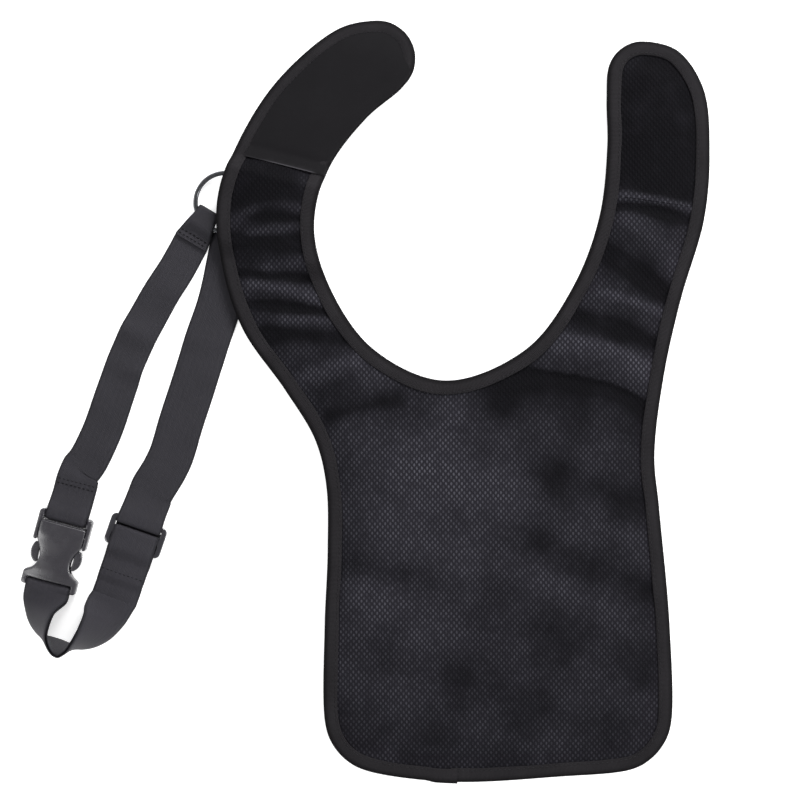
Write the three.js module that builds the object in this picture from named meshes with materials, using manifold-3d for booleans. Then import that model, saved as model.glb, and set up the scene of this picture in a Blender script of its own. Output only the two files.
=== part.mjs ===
// A bib-shaped padded shoulder harness with a webbing side strap, lying flat with its mesh-lined face up.
// Millimetres. +X to the right, +Y from the bib towards the shoulder tabs, +Z up from the surface it lies on.
// The origin is at the bottom centre of the whole object's box.
import * as THREE from "three";
import { mergeVertices } from "three/addons/utils/BufferGeometryUtils.js";
import Module from "manifold-3d";

const wasm = await Module();
wasm.setup();

// ---- Driving dimensions ----

const GAP = 0.3; // between pieces that touch on the real object
const REACH = 260; // farther from the origin than any edge, for cutting shapes
const TALL = [-40, 60]; // lower and higher than any piece, for the same
const ROUNDING = 1e-6; // lengths closer than this count as equal

// Panel layers, from the surface up: edge tape, outer shell, foam, lining, edge tape.
const TAPE_WIDTH = 9.4;
const TAPE_THICK = 0.8;
const SHELL_THICK = 0.6;
const FOAM_THICK = 3;
const LINING_THICK = 0.8;
const SHELL_Z = TAPE_THICK + GAP;
const FOAM_Z = SHELL_Z + SHELL_THICK + GAP;
const LINING_Z = FOAM_Z + FOAM_THICK + GAP;
const PANEL_TOP = LINING_Z + LINING_THICK + GAP + TAPE_THICK;

// The two shoulder tabs fold up along straight lines across the arms.
const LEFT_FOLD = { x: -57, y: 158.75, slope: -0.25, width: 200 };
const RIGHT_FOLD = { x: 193, y: 132.5, slope: -0.145, width: 120 };
const FOLD_GAP = 0.5;

// The left arm rides over the ring and the strap ends. Each row is a distance below the left fold and a rise.
const ARM_RISE = [
  [-420, 0],
  [0, 0],
  [13, 6.8],
  [58, 6.8],
  [71, 1.6],
  [130, 1.6],
  [150, 0],
  [620, 0],
];
const RISE_ENDS_X = [-10, 25]; // the rise fades out across the neckline between these

// Webbing
const WEB_THICK = 1.3;
const ON_FLOOR = WEB_THICK / 2; // mid-height of a strap lying on the surface
const LAYER = WEB_THICK + GAP; // from one strap layer's mid-height to the next one's
const AROUND = GAP + WEB_THICK / 2; // from a bar's face to the middle of the strap round it

// Ring of round wire
const RING = { x: -93.7, y: 132.3, radius: 19.5, wire: 1.6, z: 3.2 };

// Side-release buckle, in its own frame: +Y towards the ring, from the middle of the buckle.
const BUCKLE = { x: -204.6, y: -99.7, turn: -15 };
const MALE = { half: 17.9, slotHalf: 14.6, slotEnd: 19.1, railEnd: 5 };
const FEMALE = { half: 18.5, slotHalf: 15.5, slotEnd: -19.8, top: 9.8 };
const HOOD = { half: 15.2, end: 18.5, low: 7.4 }; // the female face's lip, which reaches over the male base
const MOUTH_Y = 12.3;
const BASE_Y = 13;
const MALE_BAR = { low: 21, high: 26 };
const FEMALE_BAR = { low: -25.3, high: -21.7 };
const BAR_Z = [3.2, 6.4];
const PRONG_X = 12.4; // middle of each prong's arm
const PRONG_THICK = 2.2;

// Tri-glide slider, in its own frame: +Y up the long strap.
const GLIDE = { x: -152.8, y: -89, turn: -19 };
const GLIDE_SIZE = [38.6, 21];
const GLIDE_SLOT = [31.7, 5.5];
const GLIDE_BAR = 4; // width of the centre bar
const GLIDE_Z = [3.2, 5.6];

// ---- Colours ----

const material = (color, roughness, metalness = 0) =>
  new THREE.MeshStandardMaterial({ color, roughness, metalness });
const MESH_CLOTH = material(0x222126, 0.9);
const SHELL_CLOTH = material(0x1d1c20, 0.85);
const LOOP_CLOTH = material(0x242227, 0.8);
const HOOK_TAPE = material(0x1a1a1c, 0.7);
const FOAM = material(0x2e2e30, 1);
const EDGE_TAPE = material(0x2b292c, 0.85);
const WEBBING = material(0x3b393f, 0.75);
const PLASTIC = material(0x37353a, 0.45);
const GLOSS_PLASTIC = material(0x2f2e33, 0.25);
const RING_STEEL = material(0x4a4c50, 0.3, 0.9);

// ---- Solids ----

function solid(geometry) {
  const bare = new THREE.BufferGeometry().setAttribute("position", geometry.getAttribute("position"));
  bare.setIndex(geometry.getIndex());
  const merged = mergeVertices(bare, 1e-4);
  const mesh = new wasm.Mesh({
    numProp: 3,
    vertProperties: merged.attributes.position.array,
    triVerts: new Uint32Array(merged.index.array),
  });
  return new wasm.Manifold(mesh);
}

function geometryOf(manifold) {
  const { vertProperties, triVerts } = manifold.getMesh();
  const geometry = new THREE.BufferGeometry();
  geometry.setAttribute("position", new THREE.BufferAttribute(new Float32Array(vertProperties), 3));
  geometry.setIndex(new THREE.BufferAttribute(new Uint32Array(triVerts), 1));
  geometry.computeVertexNormals();
  return geometry;
}

function named(name, shape, look) {
  const mesh = new THREE.Mesh(shape.isBufferGeometry ? shape : geometryOf(shape), look.clone());
  mesh.name = name;
  return mesh;
}

function extruded(shape, [low, high], curveSegments = 4) {
  const settings = { depth: high - low, bevelEnabled: false, curveSegments };
  return solid(new THREE.ExtrudeGeometry(shape, settings).translate(0, 0, low));
}

function box([x0, x1], [y0, y1], [z0, z1]) {
  const geometry = new THREE.BoxGeometry(x1 - x0, y1 - y0, z1 - z0);
  return solid(geometry.translate((x0 + x1) / 2, (y0 + y1) / 2, (z0 + z1) / 2));
}

// Skins a row of four-cornered rings and closes both ends.
function loft(rings) {
  const points = rings.flat();
  const positions = points.flatMap((p) => [p.x, p.y, p.z]);
  const faces = [];
  // split along the shorter diagonal, so both faces of a twisted strap bend the same way
  const quad = (a, b, c, d) => {
    const shorter = points[a].distanceTo(points[c]) <= points[b].distanceTo(points[d]) + ROUNDING;
    faces.push(...(shorter ? [a, b, c, a, c, d] : [b, c, d, b, d, a]));
  };
  for (let i = 0; i < rings.length - 1; i++)
    for (let k = 0; k < 4; k++) {
      const next = (k + 1) % 4;
      quad(4 * i + next, 4 * i + k, 4 * i + 4 + k, 4 * i + 4 + next);
    }
  const last = 4 * (rings.length - 1);
  quad(0, 1, 2, 3);
  quad(last + 3, last + 2, last + 1, last);
  const geometry = new THREE.BufferGeometry();
  geometry.setAttribute("position", new THREE.Float32BufferAttribute(positions, 3));
  return geometry.setIndex(faces);
}

// ---- Outline of the panel ----

const at = (x, y) => new THREE.Vector3(x, y, 0);

function arc(x, y, radius, from, to, steps) {
  return Array.from({ length: steps + 1 }, (_, i) => {
    const angle = THREE.MathUtils.degToRad(from + ((to - from) * i) / steps);
    return at(x + radius * Math.cos(angle), y + radius * Math.sin(angle));
  });
}

// Anticlockwise from the bottom left corner.
const OUTLINE = new THREE.CatmullRomCurve3(
  [
    ...arc(11, -208.5, 38.5, 188, 255, 3),
    ...[at(56, -252.9), at(127, -249.6)],
    ...arc(165, -208, 38.5, 288, 352, 3),
    // right side of the bib and the right arm's outer edge
    ...[at(202, -148), at(195, -70), at(192, -36), at(198, 16), at(209.5, 68), at(225, 121), at(228.7, 165)],
    ...[at(224.5, 208), at(207, 233.5)],
    ...arc(184, 216, 23.5, 90, 165, 3),
    // neckline
    ...[at(160, 200), at(160.5, 170), at(155, 122), at(137, 75), at(106, 34.5), at(53, 14), at(5.5, 34.5)],
    ...[at(-23, 74), at(-34, 114.5), at(-25, 154), at(0, 188)],
    ...arc(7.5, 228, 25.5, -50, 100, 5),
    // left arm's outer edge and the left side of the bib
    ...[at(-19, 247.5), at(-58, 214.5), at(-84, 174.5), at(-98, 135), at(-96, 93), at(-82, 48.5), at(-54, 8)],
    ...[at(-34, -25), at(-26.5, -55), at(-25.5, -100), at(-27.5, -150)],
  ],
  true,
  "centripetal",
);

// Keeps the fewest of the curve's samples that stay within the tolerance of it.
function thin(samples, tolerance) {
  if (samples.length < 3) return samples;
  const [first, last] = [samples[0].point, samples.at(-1).point];
  const chord = new THREE.Line3(first, last);
  const nearest = new THREE.Vector3();
  const off = samples.map(({ point }) => chord.closestPointToPoint(point, true, nearest).distanceTo(point));
  const worst = off.indexOf(Math.max(...off));
  if (off[worst] < tolerance) return [samples[0], samples.at(-1)];
  const before = thin(samples.slice(0, worst + 1), tolerance);
  return [...before.slice(0, -1), ...thin(samples.slice(worst), tolerance)];
}

function outlineSamples() {
  const count = 900;
  const samples = Array.from({ length: count + 1 }, (_, i) => {
    const t = (i % count) / count;
    const tangent = OUTLINE.getTangent(t);
    return { point: OUTLINE.getPoint(t), inward: new THREE.Vector3(-tangent.y, tangent.x, 0) };
  });
  const half = count / 2;
  const tolerance = 0.3;
  const halves = [samples.slice(0, half + 1), samples.slice(half)];
  return halves.flatMap((part) => thin(part, tolerance).slice(0, -1));
}

const EDGE = outlineSamples();
const inset = (depth) => EDGE.map(({ point, inward }) => point.clone().addScaledVector(inward, depth));

// ---- Panel layers ----

const foldY = (fold, x) => fold.y + fold.slope * (x - fold.x);

// A sheet between two heights, lifted over the left arm.
function sheet(low, high) {
  const xs = [-REACH, ...RISE_ENDS_X, REACH];
  const grid = (height) =>
    xs.flatMap((x, i) => {
      const lifted = i < 2 ? 1 : 0;
      return ARM_RISE.map(([distance, rise]) => [x, foldY(LEFT_FOLD, x) - distance, height + lifted * rise]);
    });
  const rows = ARM_RISE.length;
  const side = xs.length * rows;
  const faces = [];
  const quad = (a, b, c, d) => faces.push(a, b, c, a, c, d);
  for (let i = 0; i < xs.length - 1; i++)
    for (let j = 0; j < rows - 1; j++) {
      const corner = i * rows + j;
      quad(corner, corner + rows, corner + rows + 1, corner + 1);
      quad(side + corner, side + corner + 1, side + corner + rows + 1, side + corner + rows);
    }
  const rim = [];
  for (let j = 0; j < rows; j++) rim.push(j);
  for (let i = 1; i < xs.length; i++) rim.push(i * rows + rows - 1);
  for (let j = rows - 2; j >= 0; j--) rim.push((xs.length - 1) * rows + j);
  for (let i = xs.length - 2; i > 0; i--) rim.push(i * rows);
  rim.forEach((a, k) => {
    const b = rim[(k + 1) % rim.length];
    quad(a, b, side + b, side + a);
  });
  const geometry = new THREE.BufferGeometry();
  const positions = [...grid(low), ...grid(high)].flat();
  geometry.setAttribute("position", new THREE.Float32BufferAttribute(positions, 3));
  return solid(geometry.setIndex(faces));
}

const column = (points) => extruded(new THREE.Shape(points), TALL);
const layer = (low, high, depth) => column(inset(depth)).intersect(sheet(low, high));

// Everything on the tab side of a fold, from an offset above its line.
function tabSide(fold, offset) {
  const length = 160;
  const geometry = new THREE.BoxGeometry(fold.width, length, TALL[1] - TALL[0]);
  geometry.translate(0, length / 2 + offset, 0);
  geometry.rotateZ(Math.atan(fold.slope));
  return solid(geometry.translate(fold.x, fold.y, 0));
}

const leftTab = (shape) => shape.intersect(tabSide(LEFT_FOLD, FOLD_GAP / 2));
const rightTab = (shape) => shape.intersect(tabSide(RIGHT_FOLD, FOLD_GAP / 2));
const between = (shape) =>
  shape.subtract(tabSide(LEFT_FOLD, -FOLD_GAP / 2)).subtract(tabSide(RIGHT_FOLD, -FOLD_GAP / 2));

// The edge tape is folded round the panel's edge: a channel open towards the inside.
function edgeTape() {
  const band = layer(0, PANEL_TOP, 0).subtract(column(inset(TAPE_WIDTH)));
  const hollow = layer(TAPE_THICK, PANEL_TOP - TAPE_THICK, TAPE_THICK);
  return band.subtract(hollow);
}

function panelNodes() {
  const clear = TAPE_THICK + GAP;
  const shell = layer(SHELL_Z, SHELL_Z + SHELL_THICK, clear);
  const foam = layer(FOAM_Z, FOAM_Z + FOAM_THICK, clear);
  const lining = layer(LINING_Z, LINING_Z + LINING_THICK, clear);
  const tape = edgeTape();
  const bodyTape = between(tape);
  const middleOfArms = [at(-66, 175), at(-66, 95), at(-38, 45), at(55, -25), at(158, 28), at(194, 150)];
  const neckZone = column([...middleOfArms, at(60, 260)]);
  const outerTape = bodyTape.subtract(neckZone);
  const tapeEndX = 56;
  const leftOf = (x) => box([-REACH, x], [-REACH, REACH], TALL);
  return [
    named("panel_shell", between(shell), SHELL_CLOTH),
    named("panel_foam", between(foam), FOAM),
    named("panel_mesh_lining", between(lining), MESH_CLOTH),
    named("edge_tape_neckline", bodyTape.intersect(neckZone), EDGE_TAPE),
    named("edge_tape_left_side", outerTape.intersect(leftOf(tapeEndX)), EDGE_TAPE),
    named("edge_tape_right_side", outerTape.subtract(leftOf(tapeEndX + GAP)), EDGE_TAPE),
    named("left_tab_shell", leftTab(shell), SHELL_CLOTH),
    named("left_tab_foam", leftTab(foam), FOAM),
    named("left_tab_loop_patch", leftTab(loopPatch()), LOOP_CLOTH),
    named("left_tab_edge_tape", leftTab(tape), EDGE_TAPE),
    named("right_tab_shell", rightTab(shell), SHELL_CLOTH),
    named("right_tab_foam", rightTab(foam), FOAM),
    named("right_tab_mesh_lining", rightTab(lining), MESH_CLOTH),
    named("right_tab_edge_tape", rightTab(tape), EDGE_TAPE),
    named("right_tab_hook_patch", hookPatch(), HOOK_TAPE),
  ];
}

// Loop cloth on the left tab, inside the edge tape.
const loopPatch = () => layer(LINING_Z, LINING_Z + LINING_THICK, TAPE_WIDTH + GAP);

// Hook tape under the right tab, inside the edge tape.
function hookPatch() {
  const fromFold = 22;
  const aboveFloor = 0.1;
  const underside = layer(aboveFloor, SHELL_Z - GAP, TAPE_WIDTH + 1.5);
  return underside.intersect(tabSide(RIGHT_FOLD, fromFold));
}

// ---- Ring ----

function ring() {
  const geometry = new THREE.TorusGeometry(RING.radius, RING.wire, 8, 48);
  const mesh = named("ring", geometry, RING_STEEL);
  mesh.position.set(RING.x, RING.y, RING.z);
  return mesh;
}

// ---- Webbing ----

// A place's own frame: (across, along, height) to a point, turned anticlockwise by degrees.
function frameAt({ x, y, turn }) {
  const angle = THREE.MathUtils.degToRad(turn);
  const [c, s] = [Math.cos(angle), Math.sin(angle)];
  return (across, along, z) => new THREE.Vector3(x + across * c - along * s, y + across * s + along * c, z);
}

// A strap through stations, each with the strap's two edges at that place.
function strap(stations) {
  const rings = stations.map(({ right, left }, i) => {
    const half = (side) => faceNormal(stations, i, side).multiplyScalar(WEB_THICK / 2);
    const [onRight, onLeft] = [half("right"), half("left")];
    const above = [right.clone().add(onRight), left.clone().add(onLeft)];
    const below = [left.clone().sub(onLeft), right.clone().sub(onRight)];
    return [...above, ...below];
  });
  return solid(loft(rings));
}

// The way a strap's face looks at one edge of a station.
function faceNormal(stations, i, side) {
  const [before, after] = [stations[Math.max(i - 1, 0)], stations[Math.min(i + 1, stations.length - 1)]];
  const along = after[side].clone().sub(before[side]);
  return stations[i].right.clone().sub(stations[i].left).cross(along).normalize();
}

// Stations of a level strap in a place's own frame, from rows of (along, height, width).
function levelRun(place, rows) {
  return rows.map(([along, z, width]) => ({
    right: place(width / 2, along, z),
    left: place(-width / 2, along, z),
  }));
}

// Stations of a level strap along a smooth course, from rows of (x, y, height, width).
function courseRun(rows, steps) {
  const points = rows.map(([x, y, z]) => new THREE.Vector3(x, y, z));
  const middle = new THREE.CatmullRomCurve3(points, false, "centripetal");
  const widths = rows.map(([, , , width]) => width);
  return Array.from({ length: steps + 1 }, (_, i) => {
    const t = i / steps;
    const point = middle.getPoint(t);
    const tangent = middle.getTangent(t);
    const across = new THREE.Vector3(-tangent.y, tangent.x, 0).normalize();
    const place = t * (widths.length - 1);
    const low = Math.min(Math.floor(place), widths.length - 2);
    const half = THREE.MathUtils.lerp(widths[low], widths[low + 1], place - low) / 2;
    const edge = (side) => point.clone().addScaledVector(across, side * half);
    return { right: edge(1), left: edge(-1) };
  });
}

// Rows that carry a strap round one side of a bar, from over it to under it.
function roundBar(face, [low, high], side, width) {
  const [top, bottom] = [high + AROUND, low - AROUND];
  const cut = AROUND * 0.3;
  return [
    [face, top, width],
    [face + side * (AROUND - cut), top - cut, width],
    [face + side * AROUND, high, width],
    [face + side * AROUND, low, width],
    [face + side * (AROUND - cut), bottom + cut, width],
    [face, bottom, width],
  ];
}

// Rows that carry a strap round the ring's wire, from over it to under it, with the bend towards side.
function roundWire(along, side, width) {
  const radius = RING.z - ON_FLOOR;
  return [90, 54, 18, -18, -54, -90].map((degrees) => {
    const angle = THREE.MathUtils.degToRad(degrees);
    return [along + side * radius * Math.cos(angle), RING.z + radius * Math.sin(angle), width];
  });
}

const OVER_RING = 2 * RING.z - ON_FLOOR;
const ringEnd = frameAt({ x: -104.9, y: 125.1, turn: -31 });
const buckle = frameAt(BUCKLE);
const glide = frameAt(GLIDE);
const xy = (point) => [point.x, point.y];

// From its stitched flap round the ring, down to the buckle, round the male bar and back.
function upperStrap() {
  const flap = [
    [-22, ON_FLOOR + LAYER, 24],
    [-16, ON_FLOOR + LAYER, 22],
    [-10.4, OVER_RING, 19],
    ...roundWire(-0.4, 1, 15),
    [-10, ON_FLOOR, 19],
  ];
  const course = [
    [...xy(ringEnd(0, -22, 0)), ON_FLOOR, 24],
    [-126.2, 88, ON_FLOOR, 24.5],
    [-139, 67.5, ON_FLOOR, 25],
    [-156.5, 34, ON_FLOOR, 25.5],
    [-164, 14, ON_FLOOR, 26],
    [-175.4, -19, ON_FLOOR, 26.5],
    [-185, -39, ON_FLOOR, 27],
    [...xy(buckle(0, 56, 0)), ON_FLOOR, 27.5],
  ];
  const atBuckle = [
    [50, ON_FLOOR + LAYER, 28],
    [40, ON_FLOOR + LAYER, 28],
    [33, 4.4, 28],
    [28, 7, 28],
    [MALE_BAR.high, BAR_Z[1] + AROUND, 28],
    ...roundBar(MALE_BAR.low, BAR_Z, -1, 28),
    [MALE_BAR.high, BAR_Z[0] - AROUND, 28],
    [36, ON_FLOOR, 28],
    [48, ON_FLOOR, 28],
  ];
  return strap([...levelRun(ringEnd, flap), ...courseRun(course, 28), ...levelRun(buckle, atBuckle)]);
}

// Webbing sewn under the left arm, folded round the hidden side of the ring.
function anchorLoop() {
  const place = frameAt({ x: RING.x, y: RING.y, turn: 90 });
  const width = 24;
  const underShell = SHELL_Z + ARM_RISE[2][1] - GAP - ON_FLOOR;
  const rows = [
    [-36, underShell, width],
    [-27, underShell, width],
    [-22, OVER_RING, width],
    ...roundWire(-12.5, 1, width),
    [-22, ON_FLOOR, width],
    [-28, underShell - LAYER, width],
    [-36, underShell - LAYER, width],
  ];
  return strap(levelRun(place, rows));
}

const LOOP_WIDTH = 31; // the lower loop, which spreads a little at the slider
const TURN_START = { x: -167.4, y: -131, turn: -20 }; // where the loop begins to lean up on its edge
const OFF_FLOOR = 0.25; // how far the leaning edge stays above the floor

// From under the left arm, over the slider's upper bar, down through it and on under the sewn end.
function longStrap() {
  const width = 30;
  const course = [
    [-85.9, 109, ON_FLOOR, width],
    [-88, 101, ON_FLOOR, width],
    [-96.6, 68, ON_FLOOR, width],
    [-105.5, 41, ON_FLOOR, width],
    [-114, 14, ON_FLOOR, width],
    [-122.5, -12, ON_FLOOR, width],
    [-131, -39, ON_FLOOR, width],
    [...xy(glide(0, 32, 0)), ON_FLOOR, width],
  ];
  const over = GLIDE_Z[1] + AROUND;
  const throughSlot = [
    [26, 1.2, width],
    [19, 4.2, width],
    [13.5, 6.2, (width + LOOP_WIDTH) / 2],
    [10.5, over, LOOP_WIDTH],
    [8.2, over, LOOP_WIDTH],
    [6.6, over - 0.1, LOOP_WIDTH],
    [5.75, 5.7, LOOP_WIDTH],
    [5.6, 4.8, LOOP_WIDTH],
    [5.6, 2.4, LOOP_WIDTH],
    [5.35, 1.5, LOOP_WIDTH],
    [4.6, 0.85, LOOP_WIDTH],
    [3.4, 0.7, LOOP_WIDTH],
    [1, ON_FLOOR, LOOP_WIDTH],
    [-14, ON_FLOOR, LOOP_WIDTH],
  ];
  const under = [
    [...xy(glide(0, -20, 0)), ON_FLOOR, LOOP_WIDTH],
    [...xy(glide(0, -30, 0)), ON_FLOOR, LOOP_WIDTH],
    [TURN_START.x, TURN_START.y, ON_FLOOR, LOOP_WIDTH],
  ];
  return strap([...courseRun(course, 18), ...levelRun(glide, throughSlot), ...courseRun(under, 4)]);
}

// The strap's end, stitched back on itself round the slider's centre bar, above the strap that runs under it.
function sewnEnd() {
  const width = LOOP_WIDTH;
  const over = GLIDE_Z[1] + AROUND;
  const [second, third] = [ON_FLOOR + LAYER, ON_FLOOR + 2 * LAYER];
  const rows = [
    [-30, second, width],
    [-8, second, width],
    ...roundBar(GLIDE_BAR / 2, GLIDE_Z, 1, width).reverse(),
    [-11.5, over, width],
    [-18, third, width],
    [-30.5, third, width],
    [-36, second, width],
  ];
  const end = [
    [...xy(glide(0, -38, 0)), second, width],
    [TURN_START.x, TURN_START.y, second, width],
  ];
  return strap([...levelRun(glide, rows), ...courseRun(end, 2)]);
}

// One station of the turn, from the edge that stays down to the edge that leans up, in plan.
function leaning([downX, downY], [upX, upY], { pastUpright = false, lift = 0 } = {}) {
  const plan = Math.hypot(downX - upX, downY - upY);
  const cosine = (plan / LOOP_WIDTH) * (pastUpright ? -1 : 1);
  const low = OFF_FLOOR + ON_FLOOR * Math.abs(cosine) + LAYER * Math.max(cosine, 0) + lift;
  const rise = Math.sqrt(LOOP_WIDTH ** 2 - plan ** 2);
  return { right: new THREE.Vector3(downX, downY, low), left: new THREE.Vector3(upX, upY, low + rise) };
}

// The doubled strap stands up on its outer edge to turn back to the buckle, and goes round the female bar.
function turnedLoop() {
  const start = frameAt(TURN_START);
  const begin = 0.5;
  const second = ON_FLOOR + LAYER;
  const barTop = BAR_Z[1] + AROUND;
  const barWidth = 29.6;
  const nearBar = FEMALE_BAR.low - 1;
  const keys = [
    { right: start(LOOP_WIDTH / 2, -begin, second), left: start(-LOOP_WIDTH / 2, -begin, second) },
    leaning([-155.4, -140.5], [-184, -129.2]),
    leaning([-158.1, -144.8], [-184.6, -133.7]),
    leaning([-160.8, -148.8], [-183.9, -138.1]),
    leaning([-169.8, -158], [-185.8, -146.7]),
    leaning([-179.2, -163.2], [-188.1, -153]),
    leaning([-188, -165], [-191.1, -158.6]),
    leaning([-196, -163.2], [-194.8, -163.6], { pastUpright: true }),
    leaning([-203, -160.2], [-199.7, -166.3], { pastUpright: true }),
    leaning([-209.5, -158.2], [-204.2, -163.9], { pastUpright: true }),
    leaning([-215.2, -156.8], [-207, -158.3]),
    leaning([-220.2, -153.2], [-208.1, -152.5]),
    leaning([-224.4, -146.6], [-207, -145.8]),
    leaning([-226.8, -137.6], [-203.8, -137.7], { lift: 0.6 }),
    leaning([-227.6, -128.8], [-197.6, -131.4], { lift: 1.6 }),
    { right: buckle(-barWidth / 2, nearBar, barTop), left: buckle(barWidth / 2, nearBar, barTop) },
  ];
  const curve = (side) => new THREE.CatmullRomCurve3(keys.map((key) => key[side]), false, "centripetal");
  const [right, left] = [curve("right"), curve("left")];
  const steps = 40;
  const outer = Array.from({ length: steps + 1 }, (_, i) => ({
    right: right.getPoint(i / steps),
    left: left.getPoint(i / steps),
  }));
  const partsFrom = 0.86; // how far along the turn the layers begin to part for the bar
  const barApart = BAR_Z[1] - BAR_Z[0] + 2 * AROUND;
  const down = new THREE.Vector3(0, 0, -1);
  const inner = outer.map((station, i) => {
    const nearness = THREE.MathUtils.smoothstep(i / steps, partsFrom, 1);
    const apart = THREE.MathUtils.lerp(LAYER, barApart, nearness);
    const toward = (side) => faceNormal(outer, i, side).lerp(down, nearness).normalize();
    const beside = (side) => station[side].clone().addScaledVector(toward(side), apart);
    return { right: beside("right"), left: beside("left") };
  });
  const wrap = levelRun(buckle, roundBar(FEMALE_BAR.high, BAR_Z, 1, -barWidth));
  return strap([...outer, ...wrap, ...inner.reverse()]);
}

// ---- Buckle ----

function placed(mesh, { x, y, turn }) {
  mesh.position.set(x, y, 0);
  mesh.rotation.z = THREE.MathUtils.degToRad(turn);
  return mesh;
}

function roundedPlate(halfX, [y0, y1], corner) {
  const shape = new THREE.Shape();
  shape.moveTo(-halfX + corner, y0);
  shape.lineTo(halfX - corner, y0);
  shape.absarc(halfX - corner, y0 + corner, corner, -Math.PI / 2, 0);
  shape.absarc(halfX - corner, y1 - corner, corner, 0, Math.PI / 2);
  shape.absarc(-halfX + corner, y1 - corner, corner, Math.PI / 2, Math.PI);
  shape.absarc(-halfX + corner, y0 + corner, corner, Math.PI, 1.5 * Math.PI);
  return shape;
}

// Cuts the strap's slot, and thins the bar beside it.
function slotAndBar(shape, slotHalf, slotY, barY) {
  const across = [-slotHalf, slotHalf];
  return shape
    .subtract(box(across, slotY, TALL))
    .subtract(box(across, barY, [BAR_Z[1], TALL[1]]))
    .subtract(box(across, barY, [TALL[0], BAR_Z[0]]));
}

function maleBase() {
  const plate = extruded(roundedPlate(MALE.half, [MALE.railEnd, MALE_BAR.high], 3), [0.8, 8.8]);
  const betweenRails = [-HOOD.half - GAP, HOOD.half + GAP];
  const base = plate
    .subtract(box(betweenRails, [MALE.railEnd - 1, BASE_Y], TALL))
    .subtract(box(betweenRails, [BASE_Y - 1, MALE.slotEnd], [HOOD.low - GAP, TALL[1]]));
  const slot = [MALE.slotEnd, MALE_BAR.low];
  const frame = slotAndBar(base, MALE.slotHalf, slot, [MALE_BAR.low, MALE_BAR.high + 1]);
  const tongue = box([-3, 3], [-9, BASE_Y + 0.5], [3.4, 6.2]);
  return frame.add(tongue);
}

function prong(side) {
  const inside = PRONG_X - PRONG_THICK / 2;
  const outside = PRONG_X + PRONG_THICK / 2;
  const shape = new THREE.Shape();
  shape.moveTo(inside, 12.5);
  shape.lineTo(inside, 2);
  shape.quadraticCurveTo(12.4, -4, inside, -9);
  shape.quadraticCurveTo(12.2, -10.6, 14, -9.4);
  shape.quadraticCurveTo(17, -7, 17.2, -2.5);
  shape.quadraticCurveTo(17, 1.5, 15.4, 3.4);
  shape.lineTo(outside, 3.7);
  shape.lineTo(outside, 12.5);
  const half = 2;
  const middle = 5;
  const geometry = geometryOf(extruded(shape, [-half, half]));
  if (side < 0) geometry.rotateY(Math.PI);
  return geometry.translate(0, 0, middle);
}

// The buckle's hourglass face: widest at the bar, narrow between the side windows, ending in the hood.
function femaleFace() {
  const half = FEMALE.half;
  const end = FEMALE_BAR.low;
  const corner = 2;
  const sides = [
    ["lineTo", half, -16.5],
    ["quadraticCurveTo", 14, -14.5, 12.2, -11.5],
    ["quadraticCurveTo", 8, -4.5, 14, 4.2],
    ["lineTo", HOOD.half, 5.4],
    ["lineTo", HOOD.half, HOOD.end],
    ["lineTo", -HOOD.half, HOOD.end],
    ["lineTo", -HOOD.half, 5.4],
    ["lineTo", -14, 4.2],
    ["quadraticCurveTo", -8, -4.5, -12.2, -11.5],
    ["quadraticCurveTo", -14, -14.5, -half, -16.5],
    ["lineTo", -half, end + corner],
    ["quadraticCurveTo", -half, end, corner - half, end],
  ];
  const shape = new THREE.Shape();
  shape.moveTo(half - corner, end);
  shape.quadraticCurveTo(half, end, half, end + corner);
  for (const [draw, ...values] of sides) shape[draw](...values);
  return shape;
}

function femaleBody() {
  const face = extruded(femaleFace(), [0.4, FEMALE.top]);
  const cavity = box([-14.2, 14.2], [-12, MOUTH_Y + 1], [2.4, HOOD.low]);
  const underHood = box([-FEMALE.half, FEMALE.half], [MOUTH_Y, HOOD.end + 1], [TALL[0], HOOD.low]);
  const body = face.subtract(cavity).subtract(underHood);
  const slot = [FEMALE_BAR.high, FEMALE.slotEnd];
  return slotAndBar(body, FEMALE.slotHalf, slot, [FEMALE_BAR.low - 1, FEMALE_BAR.high]);
}

function buckleNodes() {
  return [
    placed(named("buckle_male_base", maleBase(), PLASTIC), BUCKLE),
    placed(named("buckle_prong_left", prong(-1), PLASTIC), BUCKLE),
    placed(named("buckle_prong_right", prong(1), PLASTIC), BUCKLE),
    placed(named("buckle_female", femaleBody(), PLASTIC), BUCKLE),
  ];
}

// ---- Slider ----

function triGlide() {
  const [width, length] = GLIDE_SIZE;
  const [slotWidth, slotLength] = GLIDE_SLOT;
  const plate = extruded(roundedPlate(width / 2, [-length / 2, length / 2], 4), GLIDE_Z);
  const across = [-slotWidth / 2, slotWidth / 2];
  const near = GLIDE_BAR / 2;
  const cut = plate
    .subtract(box(across, [near, near + slotLength], TALL))
    .subtract(box(across, [-near - slotLength, -near], TALL));
  return placed(named("tri_glide", cut, GLOSS_PLASTIC), GLIDE);
}

// ---- The whole object ----

const harness = new THREE.Group();
harness.add(...panelNodes());
harness.add(ring());
harness.add(named("ring_anchor_loop", anchorLoop(), WEBBING));
harness.add(named("strap_upper", upperStrap(), WEBBING));
harness.add(named("strap_long", longStrap(), WEBBING));
harness.add(named("strap_sewn_end", sewnEnd(), WEBBING));
harness.add(named("strap_turned_loop", turnedLoop(), WEBBING));
harness.add(...buckleNodes());
harness.add(triGlide());

export default harness;
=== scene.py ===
"""A bib-shaped padded shoulder harness lying flat, dressed for the camera.

Lengths in the code are millimetres in the part's frame; mesh_object() turns them into metres.
"""

import math

import bpy
import numpy as np
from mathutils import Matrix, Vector, kdtree
from mathutils.geometry import delaunay_2d_cdt


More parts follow.
